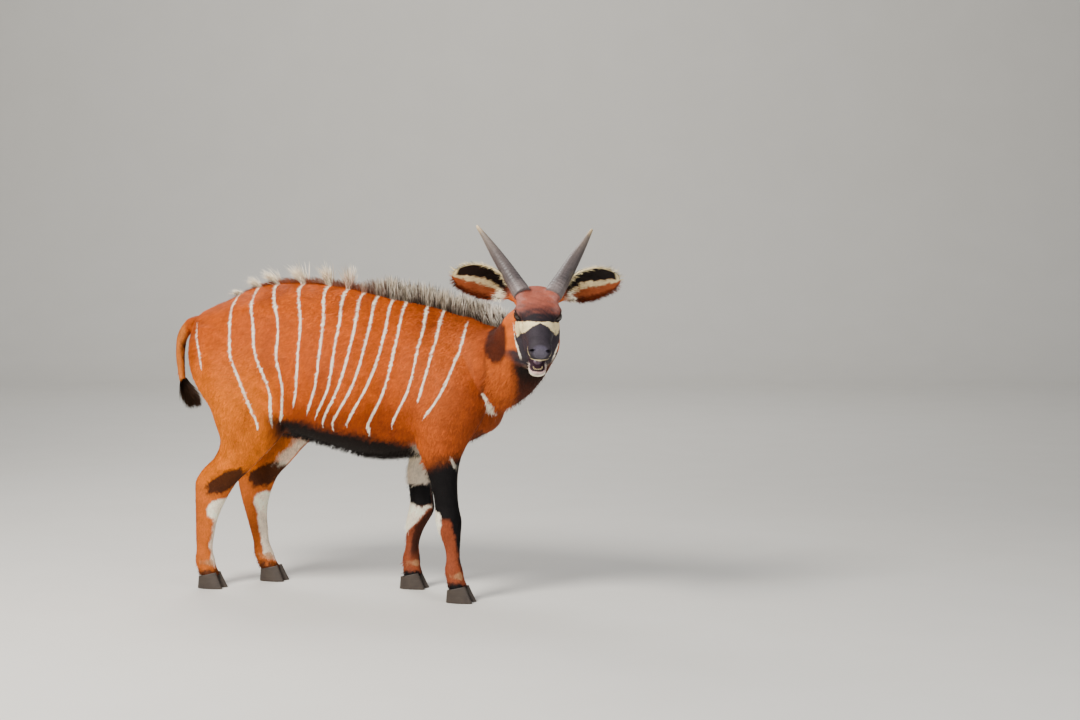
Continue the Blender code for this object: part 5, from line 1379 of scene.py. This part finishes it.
hairMat = hairMaterial("coat_hair")
coat = {
    "pieces": 7,
    "tufts": 56000,  # in each piece
    "spread": 0.18,
    "sunk": 0.0006,  # how far the roots lie in the skin
    "wide": 0.20,  # width as a share of the length, and what is added to it
    "added": 0.0004,
}


def hairLength(p):
    body = 0.0105 + 0.0040 * rampUp(-p[:, 2], -0.72, -0.60)
    length = body * (1 - 0.45 * legShare(p))
    length = length * (1 - 0.62 * headShare(p)) * (1 - 0.2 * earShare(p)[0])
    local = inHead(p)
    return length * (1 - 0.45 * rampUp(local[:, 0], 0.22, 0.32) * headShare(p))


faceHead, faceEar = headShare(faceMiddle), earShare(faceMiddle)[0]
localMiddle = inHead(faceMiddle)
eyeNear = np.minimum(*[np.linalg.norm(localMiddle - mirrored(head["eye"], s), axis=1) for s in (-1, 1)])
bare = (eyeNear < 0.026) | (np.linalg.norm((localMiddle - (0.366, 0, -0.052)) * (1, 0.8, 1), axis=1) < 0.030)
mouthHue = np.linalg.norm(coatColour(faceMiddle, unit(faceNormal)) - hues["mouth"], axis=1) < 0.03
bare |= mouthHue & (faceHead > 0.5)
bare |= (localMiddle[:, 0] > 0.15) & (localMiddle[:, 2] < -0.095) & (localMiddle[:, 2] > -0.13) & (
    np.abs(localMiddle[:, 1]) < 0.030) & (faceHead > 0.5)
density = np.where(bare, 0.0, 1 + 3.5 * faceHead + 1.5 * legShare(faceMiddle) + 1.5 * faceEar)
for number in range(coat["pieces"]):
    root, normal, uv, dice = scatter(coat["tufts"], density, 100 + number)
    way = lay(hairWay(root), normal, dice, coat["spread"])
    coarse = 1 + 0.7 * (number == 0) * (1 - headShare(root)) * (1 - earShare(root)[0])
    size = hairLength(root) * dice.uniform(0.75, 1.25, len(root)) * coarse
    hue = coatColour(root + way * size[:, None] * 0.5, normal) * dice.uniform(0.78, 1.18, (len(root), 1))
    lift = coatDepth(root) / size * 1.25 * dice.uniform(0.5, 1.2, len(root))
    width = size * coat["wide"] * coarse + coat["added"]
    piece = tufts(f"short_coat_{number + 1}", root - normal * coat["sunk"], normal, way, size, width,
                  lift, lift * 0.45, hue, uv)
    place(piece, hairMat, "coat")
report("short coat grown")
legNames = ("front_right", "front_left", "hind_right", "hind_left")
place(skin, skinMaterial, "coat",
      ["torso", "neck", "head", "tail", "ear_left", "ear_right"]
      + [f"{leg}_{part}" for leg in legNames for part in ("upper", "lower")])


def spineLine():  # along the top of the back and the nape
    neck = neckTube()[:, 12]
    neck = neck[(neck[:, 0] > 0.50) & (neck[:, 0] < 0.735)]
    table = np.array(flesh["trunk"])
    x = np.linspace(-0.66, 0.48, 60)
    top = smoothCurve(table[:, 0], table[:, 1], x)
    line = np.vstack((np.stack((x, 0 * x, top), axis=1), neck))
    along = np.concatenate(([0.0], np.cumsum(np.linalg.norm(np.diff(line, axis=0), axis=1))))
    return along / along[-1], line


spineShare, spine = spineLine()
# share along the spine: length of the hair, and how grizzled its tips are
crest = np.array([(0.00, 0.034, 0.1), (0.08, 0.060, 0.2), (0.18, 0.092, 0.3), (0.30, 0.090, 0.7),
                  (0.42, 0.084, 0.9), (0.55, 0.080, 1.0), (0.68, 0.076, 1.0), (0.82, 0.074, 0.9),
                  (0.92, 0.060, 0.6), (1.00, 0.040, 0.3)])


def spineAt(share, axis):  # one coordinate of the spine at shares of its length
    return np.interp(share, spineShare, spine[:, axis])


crestHair = {
    "tufts": 19000,
    "near": 0.0105,  # how far from the spine most roots lie
    "within": 0.026,  # and the furthest
    "stripe": 0.0115,  # half width of the white fans at their roots
    "clumps": 150,
    "clumping": 11.0,
    "tips": "#e6dccb", "grizzled": "#b9ab98",
}


def growCrest():
    upright = rampUp(faceMiddle[:, 2], 0.95, 1.0) * (faceHead < 0.2)
    near = upright * np.exp(-((lineDistance(faceMiddle, spine[::3])[0] / crestHair["near"]) ** 2))
    root, normal, uv, dice = scatter(crestHair["tufts"], near + 1e-12, 31)
    d, share = lineDistance(root, spine[::3])
    keep = d < crestHair["within"]
    root, normal, uv, share = root[keep], normal[keep], uv[keep], share[keep]
    count = len(root)
    ahead = unit(np.stack([spineAt(share + 0.01, k) - spineAt(share - 0.01, k) for k in range(3)], axis=1))
    size = np.interp(share, crest[:, 0], crest[:, 1]) * dice.uniform(0.65, 1.15, count)
    grey = np.interp(share, crest[:, 0], crest[:, 2])
    back = rampUp(-root[:, 0], -0.12, 0.06)
    white = stripeMask(root + ahead * 0.004 - (0, 0, 0.01), crestHair["stripe"])
    white = white * (0.3 + 0.7 * rampUp(-root[:, 0], 0.0, 0.15))
    white = white * (dice.random(count) < 0.9)
    fan = (white > 0.5) * back  # the white fans at the rump spread from the tops of their stripes
    lean = np.interp(root[:, 0], (-0.60, -0.45, -0.25, -0.05, 0.20), (1.35, 1.0, 0.6, 0.35, 0.20))
    way = -ahead * (lean + 0.15 * wobble(root, 0.05, 8))[:, None] + normal * 0.95
    way = unit(way + dice.normal(size=(count, 3)) * (0.11 + 0.12 * fan)[:, None])
    clumps = crestHair["clumps"]
    clump = (np.floor(share * clumps + 0.3 * np.sin(share * 6 * clumps)) + 0.5) / clumps
    pull = np.stack([spineAt(clump, 0) - spineAt(share, 0), -0.5 * root[:, 1], 0 * share], axis=1)
    way = unit(way + crestHair["clumping"] * pull * (1 - fan)[:, None])
    size = size * (1 - 0.62 * back * (1 - fan)) * dice.choice((0.55, 0.8, 1.0, 1.2), count)
    dark = np.tile(hues["crestDark"], (count, 1))
    base = dark * (1 - 0.85 * back[:, None]) + hues["flank"] * 0.85 * back[:, None]
    base = base + white[:, None] * (hues["white"] - base)
    pale = np.clip(grey * (dice.random(count) < 0.78) * (1 - 0.6 * back), 0, 1)[:, None]
    tip = (dark * 0.5 + base * 0.5) * (1 - pale) + colour(crestHair["tips"]) * pale
    base = base + 0.35 * pale * (colour(crestHair["grizzled"]) - base)
    tip = tip + white[:, None] * (hues["white"] - tip)
    bright = dice.uniform(0.85, 1.15, (count, 1))
    return tufts("crest", root - normal * 0.003, normal, way, size, size * 0.026 + 0.0008, np.full(count, 0.20),
                 np.full(count, 0.30), base * bright, uv, 4, tip * bright)


# Hair from where the weight is above 0; way is one direction or a function that gives each root's own.
def growFringe(name, weight, count, seed, length, way, lift, width=0.07, ownHue=None):
    root, normal, uv, dice = scatter(count // (1), weight + 1e-12, seed)
    n = len(root)
    size = length * dice.uniform(0.6, 1.25, n)
    aim = way(root) if callable(way) else np.array(way)
    lie = unit(aim + dice.normal(size=root.shape) * 0.22)
    hue = coatColour(root, normal) if ownHue is None else np.tile(colour(ownHue), (n, 1))
    hue = hue * dice.uniform(0.85, 1.15, (n, 1))
    return tufts(name, root - normal * 0.002, normal, lie, size, size * width + 0.0006, np.full(n, lift),
                 np.full(n, lift * 0.7), hue, uv, 3)


which, legU = legPlace(faceMiddle)[:2]
x, y, z = faceMiddle.T
inEar, earAlong, earAcross, earFacing = earShare(faceMiddle)
earUp = -np.sign(localMiddle[:, 1]) * earAcross
earCup = (inEar > 0) & (earFacing > -0.0002)
where = {
    "belly": (np.abs(y) < 0.10) & (x > -0.36) & (x < 0.50) & (z < 0.72) & (faceNormal[:, 2] < 0),
    "foreleg": (which == 0) & (legU < -0.55) & (z > 0.43) & (z < 0.56),
    "ear": earCup & (earAlong < 0.75),
    "earTop": earCup & (earUp > 0.86),
    "earLow": (inEar > 0) & (earUp < -0.86) & (earAlong > 0.15),
    "chin": (faceHead > 0.5) & (closeJaw(localMiddle)[:, 0] > 0.26) & (localMiddle[:, 2] < -0.13),
    "throat": (x > 0.46) & (faceNormal[:, 2] < 0) & (faceHead < 0.3) & (z > 0.68),
    "fetlock": (legU < -0.3) & (z < 0.125) & (z > 0.05),
}
fringes = [  # name, where, how many, seed, length, way, lift off the skin, width by length, hue
    ("belly_fringe", "belly", 5200, 41, 0.024, (-0.6, 0, -0.75), 0.22),
    ("foreleg_fringe", "foreleg", 1500, 42, 0.024, (-0.5, 0, -0.85), 0.24),
    ("ear_hair", "ear", 3600, 43, 0.020, earSpread(-0.15, 0.95, -0.10), 0.35, 0.05),
    ("ear_rim_hair", "earTop", 900, 44, 0.018, earSpread(-0.45, 0.80, 0.25), 0.25, 0.05, "#e9d9b8"),
    ("ear_edge_hair", "earLow", 1500, 48, 0.020, earSpread(0.50, 0.75, -0.20), 0.15, 0.05),
    ("chin_hair", "chin", 900, 45, 0.012, hairWay, 0.3),
    ("throat_hair", "throat", 5200, 46, 0.026, hairWay, 0.16),
    ("fetlock_hair", "fetlock", 1600, 47, 0.016, (-0.25, 0, -1.0), 0.20),
]
longHair = [growCrest()] + [growFringe(name, where[spot], *rest) for name, spot, *rest in fringes]


# The tail's tuft: locks from rings round the end of the tail, hanging and sweeping forward.
tailTuft = {
    "locks": 2600,
    "length": (0.050, 0.098),
    "width": 0.0036,
    "roots": "#241a15", "tips": "#4a382b",
}


def growTuft():
    dice = np.random.default_rng(53)
    count = tailTuft["locks"]
    share = dice.random(count) ** 0.8
    middle = np.stack((-0.800 + 0.028 * share, 0 * share, 0.826 - 0.064 * share), axis=1)
    turn = dice.uniform(0, 2 * math.pi, count)
    out = np.stack((np.cos(turn), np.sin(turn), 0 * turn), axis=1)
    root = middle + out * (0.0125 - 0.006 * share)[:, None]
    way = unit(out * dice.uniform(0.10, 0.50, (count, 1)) + np.array((0.30, 0, -1.0)))
    size = dice.uniform(*tailTuft["length"], count) * (1 - 0.25 * share)
    bend = dice.uniform(0.05, 0.30, count)
    toward = unit(np.array((0.85, 0, -0.3)) + dice.normal(size=(count, 3)) * 0.15)
    base = np.tile(colour(tailTuft["roots"]), (count, 1)) * dice.uniform(0.7, 1.3, (count, 1))
    tip = np.tile(colour(tailTuft["tips"]), (count, 1)) * dice.uniform(0.8, 1.3, (count, 1))
    uv = np.stack((0.1 + 0.5 * share, turn / 7), axis=1)
    normal = unit(toward - way * np.sum(toward * way, axis=1, keepdims=True))
    return tufts("tail_tuft_hair", root, normal, way, size, np.full(count, tailTuft["width"]),
                 np.zeros(count), -bend, base, uv, 4, tip)


tuft = growTuft()
for piece in longHair:
    place(piece, hairMat, "coat")
place(tuft, hairMaterial("tail_hair", 0.5), "dark_hair", ["tail_tuft"])
report("long hair grown")


# The eye: a ball whose front bulges by a cornea of height * exp(-(angle / reach)^4).
def eyePiece(label, side):
    radius = head["eyeRadius"]
    out, ahead, rise = eyeAxes(side)
    grid = ball((0, 0, 0), (1, 1, 1), None, 40)
    angle = np.arccos(np.clip(grid[..., 2], -1, 1))
    cornea = 0.0011 * np.exp(-((angle / 0.52) ** 4))
    grid = grid * (radius - 0.0002 + cornea)[..., None]
    wide = np.stack((ahead, rise, out))
    thing = outwards(meshFromGrids(f"eye_ball_{label}", [onHead(grid @ wide + mirrored(head["eye"], side))]))
    q = (inHead(points(thing)) - mirrored(head["eye"], side)) @ wide.T / radius
    flat = np.where(np.hypot(q[:, 0], q[:, 1]) < 0.36, 1.35, 1.0)  # the pupil is wider than tall
    ring = np.hypot(q[:, 0], q[:, 1] * flat)
    floatData(thing, "ring", np.where(q[:, 2] > 0, ring, 1.0))
    return thing


# The horn: rings along a bowed path, thinner towards the tip, with growth rings and a twisting keel.
horn = {"run": (-0.372, 0.160, 0.036), "bow": (0.0, 0.010, 0.022)}  # root to tip, and how far it bows


def hornPiece(label, side):
    t = np.linspace(-0.02, 1, 220)
    path = head["hornRoot"] + t[:, None] * horn["run"] + np.sin(math.pi * t)[:, None] * horn["bow"]
    path = path * (1, side, 1)
    radius = 1.05 * head["hornRadius"] * (1 - 0.86 * np.clip(t, 0, 1) ** 1.15)
    dice = np.random.default_rng(61 + side)
    for at in np.cumsum(dice.uniform(0.022, 0.040, 16)):  # growth rings, fading up the horn
        radius = radius + 0.0017 * math.exp(-2.2 * at) * np.exp(-(((t - at) / 0.0055) ** 2))
    radius[-6:] *= (1.0, 0.96, 0.88, 0.74, 0.52, 0.22)
    along = unit(np.gradient(path, axis=0))
    out = unit(np.cross(along, (0, 0, 1)))
    up = np.cross(out, along)
    angle = np.linspace(0, 2 * math.pi, 64, endpoint=False)[None, :]
    keel = 1 + 0.10 * np.maximum(np.cos(angle - side * (0.6 + 4.2 * t[:, None])), 0) ** 3
    fibre = sum(np.sin(k * angle + seed) for k, seed in ((13, 1), (22, 2), (31, 4))) / 3
    reach = radius[:, None] * keel * (1 + 0.008 * fibre * (1 - t[:, None]))
    grid = path[:, None] + reach[..., None] * (np.cos(angle)[..., None] * out[:, None]
                                               + np.sin(angle)[..., None] * up[:, None])
    thing = outwards(meshFromGrids(f"ringed_horn_{label}", [onHead(grid)]))
    along = (inHead(points(thing))[:, 0] - head["hornRoot"][0]) / horn["run"][0]
    floatData(thing, "along", np.clip(along, 0, 1))
    floatData(thing, "fibre", np.concatenate((np.tile(0.5 + 0.5 * fibre[0], len(t)), (0.5, 0.5))))
    return thing


tongue = [  # along the jaw, top, bottom, half width
    (0.170, -0.096, -0.110, 0.012), (0.230, -0.090, -0.112, 0.019), (0.280, -0.088, -0.110, 0.018),
    (0.308, -0.091, -0.106, 0.013), (0.316, -0.095, -0.102, 0.006),
]


def tonguePiece():  # ellipses along the jaw with a groove down the top
    s = np.linspace(tongue[0][0], tongue[-1][0], 40)
    top, bottom, half = rowsAt(tongue, s)
    angle = np.linspace(0, 2 * math.pi, 32, endpoint=False)[None, :]
    across = half[:, None] * np.cos(angle)
    groove = 0.0022 * np.exp(-((across / 0.003) ** 2)) * (np.sin(angle) > 0)
    rise = ((top - bottom) / 2)[:, None] * np.sin(angle) - groove
    grid = np.stack((np.broadcast_to(s[:, None], rise.shape), across,
                     ((top + bottom) / 2)[:, None] + rise), axis=-1)
    return outwards(meshFromGrids("tongue_flesh", [onHead(openJaw(grid))]))


teeth = {"count": 8, "thick": 0.0017, "wide": 0.0027, "tall": 0.0128, "lean": 0.0030}


def teethPiece():  # lower front teeth in an arc, each a rounded blade
    grids = []
    last = teeth["count"] - 1
    for number in range(teeth["count"]):
        u = (2 * number - last) / last
        middle = np.array((0.3390 - 0.0115 * u * u, 0.0158 * math.sin(u * math.pi / 2), -0.1000))
        wide = teeth["wide"] - 0.0005 * abs(u)
        t = np.linspace(0, 1, 10)
        angle = np.linspace(0, 2 * math.pi, 14, endpoint=False)
        ring = np.stack((teeth["thick"] * np.cos(angle), wide * np.sin(angle), 0 * angle), axis=1)
        swell = np.array([0.72, 0.80, 0.88, 0.95, 1.0, 1.03, 1.04, 1.0, 0.86, 0.42])
        flat = np.stack((1 - 0.55 * t, np.ones(10), np.ones(10)), axis=1)
        rise = t[:, None] * (teeth["lean"], 0, teeth["tall"])
        grids.append(onHead(openJaw(middle + rise[:, None] + ring[None] * (swell[:, None] * flat)[:, None])))
    return outwards(meshFromGrids("front_teeth", grids))


hoof = {  # middle of a right foot along x, its distance from the midline, and the left foot's step
    "front": (0.420, 0.120, "foreStep"),
    "hind": (-0.633, 0.118, "hindStep"),
}


# A claw: level outlines from the sole up, rounder at the heel than at the toe, cut off by a slope.
def hoofPiece(leg, claw, side, spread):
    x, y, step = hoof[leg.split("_")[0]]
    middle = (x + (flesh[step][0][1] if side > 0 else 0.0), side * y)
    slope = math.tan(math.radians(-13.0))
    angle = np.linspace(0, 2 * math.pi, 48, endpoint=False)
    rows = []
    for u in np.concatenate(([0.0, 0.02, 0.06], np.linspace(0.10, 1.0, 22))):
        under = 0.0022 * (1 - min(u / 0.06, 1)) ** 2
        heel = -0.040 + 0.004 * u + under
        toe = 0.068 * (1 - u) + 0.037 * u - 0.006 * u * (1 - u) - under
        half = 0.0215 * (1 - 0.14 * u) - under + 0.00035 * math.sin(70 * u)
        along = (heel + toe) / 2 + (toe - heel) / 2 * np.cos(angle)
        share = np.clip((along - heel) / (toe - heel), 0, 1)
        across = half * np.sign(np.sin(angle)) * np.abs(np.sin(angle)) ** 0.75 * (1 - 0.38 * share**2.5)
        across = np.where(np.sign(across) != spread, across * 0.82, across)
        centre = spread * (0.0200 + 0.0035 * (1 - u) * (0.4 + share))
        top = 0.0560 - along * slope
        rows.append(np.stack((middle[0] + along, middle[1] + centre + across, u * top), axis=1))
    return outwards(meshFromGrids(f"claw_{leg}_{claw}", [np.array(rows)]))


eyeMat, hornMat, hoofMat = eyeMaterial(), hornMaterial(), hoofMaterial()
for label, side in (("left", 1), ("right", -1)):
    place(eyePiece(label, side), eyeMat, "eye", [f"eye_{label}"])
    place(hornPiece(label, side), hornMat, "horn", [f"horn_{label}"])
place(tonguePiece(), tongueMaterial(), "tongue", ["tongue"])
place(teethPiece(), toothMaterial(), "horn")
for leg in legNames:
    side = 1 if "left" in leg else -1
    for claw, spread in (("outer", side), ("inner", -side)):
        place(hoofPiece(leg, claw, side, spread), hoofMat, "hoof", [f"hoof_{leg}_{claw}"])
report("hard parts made")


camera = {
    "focal": 2249, "wide": 1080,  # focal length and width of the picture in its pixels
    "yaw": 18.0,
    "distance": 8.55,
    "height": 1.54,
    "aims": (0.42, -0.12, 0),  # the point that it faces, before the two offsets in pixels
    "aside": 83, "below": 160,
}
yaw, pitch = math.radians(camera["yaw"]), math.atan(camera["below"] / camera["focal"])
right = np.array((math.cos(yaw), math.sin(yaw), 0))
level = np.array((-math.sin(yaw), math.cos(yaw), 0))
aside = camera["aside"] / camera["focal"] * camera["distance"]
eyePoint = np.array(camera["aims"]) - camera["distance"] * level + aside * right
eyePoint[2] = camera["height"]
forward = level * math.cos(pitch) - np.array((0, 0, math.sin(pitch)))
upward = level * math.sin(pitch) + np.array((0, 0, math.cos(pitch)))

# The floor runs to a quarter circle far behind the animal and up from there.
studio = {"reach": 120.0, "behind": 10.0, "bend": 2.2, "top": 7.0, "hues": ("#d8d5ce", "#dedbd5")}
behind, bend = studio["behind"], studio["bend"]
profile = [(-studio["reach"], 0.0), (behind, 0.0)]
profile += [(behind + bend * math.sin(a), bend - bend * math.cos(a)) for a in np.linspace(0.1, math.pi / 2, 14)]
profile.append((behind + bend, studio["top"]))
floorVerts = np.array([right * r + level * back + np.array((0, 0, rise)) for back, rise in profile
                       for r in (-studio["reach"], 0.0, studio["reach"])])
floorFaces = [(3 * i + j, 3 * i + j + 1, 3 * i + j + 4, 3 * i + j + 3)
              for i in range(len(profile) - 1) for j in range(2)]
floor = meshFromArrays("studio_floor", floorVerts + np.array((shift[0], shift[1], 0.0)), floorFaces)
floorMat, tree = newMaterial("pale_floor")
finish(tree, mixColour(tree, stretchedNoise(tree, (3, 3, 3), 3), *studio["hues"]), 0.9)
smoothShade(floor, floorMat)

# place and aim, in metres behind, to the right of and above the animal's middle; size, power, tint
lights = {
    "key": ((-3.4, -2.4, 3.8), (0, 0, 0), 2.0, 530, (1.0, 0.96, 0.90)),
    "fill": ((-3.8, 3.2, 1.8), (0, 0, 0), 3.2, 70, (0.93, 0.96, 1.0)),
    "rim": ((2.8, -1.0, 3.2), (0, 0, 0), 2.2, 110, (1.0, 0.98, 0.95)),
    "backdrop": ((5.5, 0, 4.7), (12.2, 0, 0.7), 4.0, 260, (1.0, 0.98, 0.95)),
}


def fromMiddle(behind, aside, up):
    middle = np.array((0.0, 0.0, 0.8)) + (shift * (1, 1, 0))
    return Vector(middle + behind * level + aside * right + np.array((0, 0, up)))


for name, (spot, aim, size, power, tint) in lights.items():
    lamp = bpy.data.lights.new(name, "AREA")
    lamp.shape, lamp.size, lamp.energy, lamp.color = "DISK", size, power, tint
    thing = bpy.data.objects.new(name, lamp)
    bpy.context.scene.collection.objects.link(thing)
    thing.location = fromMiddle(*spot)
    thing.rotation_euler = (fromMiddle(*aim) - fromMiddle(*spot)).to_track_quat("-Z", "Y").to_euler()
sky = {"hue": (0.86, 0.89, 0.93, 1), "strength": 0.36}
world = bpy.data.worlds.new("studio_world")
world.use_nodes = True
world.node_tree.nodes["Background"].inputs[0].default_value = sky["hue"]
world.node_tree.nodes["Background"].inputs[1].default_value = sky["strength"]
bpy.context.scene.world = world

lens = bpy.data.cameras.new("photo_view")
lens.sensor_width = 36.0
lens.lens = lens.sensor_width * camera["focal"] / camera["wide"]
lens.clip_end = 60
view = bpy.data.objects.new("photo_view", lens)
bpy.context.scene.collection.objects.link(view)
turn = Matrix((right, upward, -forward)).transposed().to_4x4()
turn.translation = Vector(eyePoint + shift)
view.matrix_world = turn
bpy.context.scene.camera = view
report("stage set")
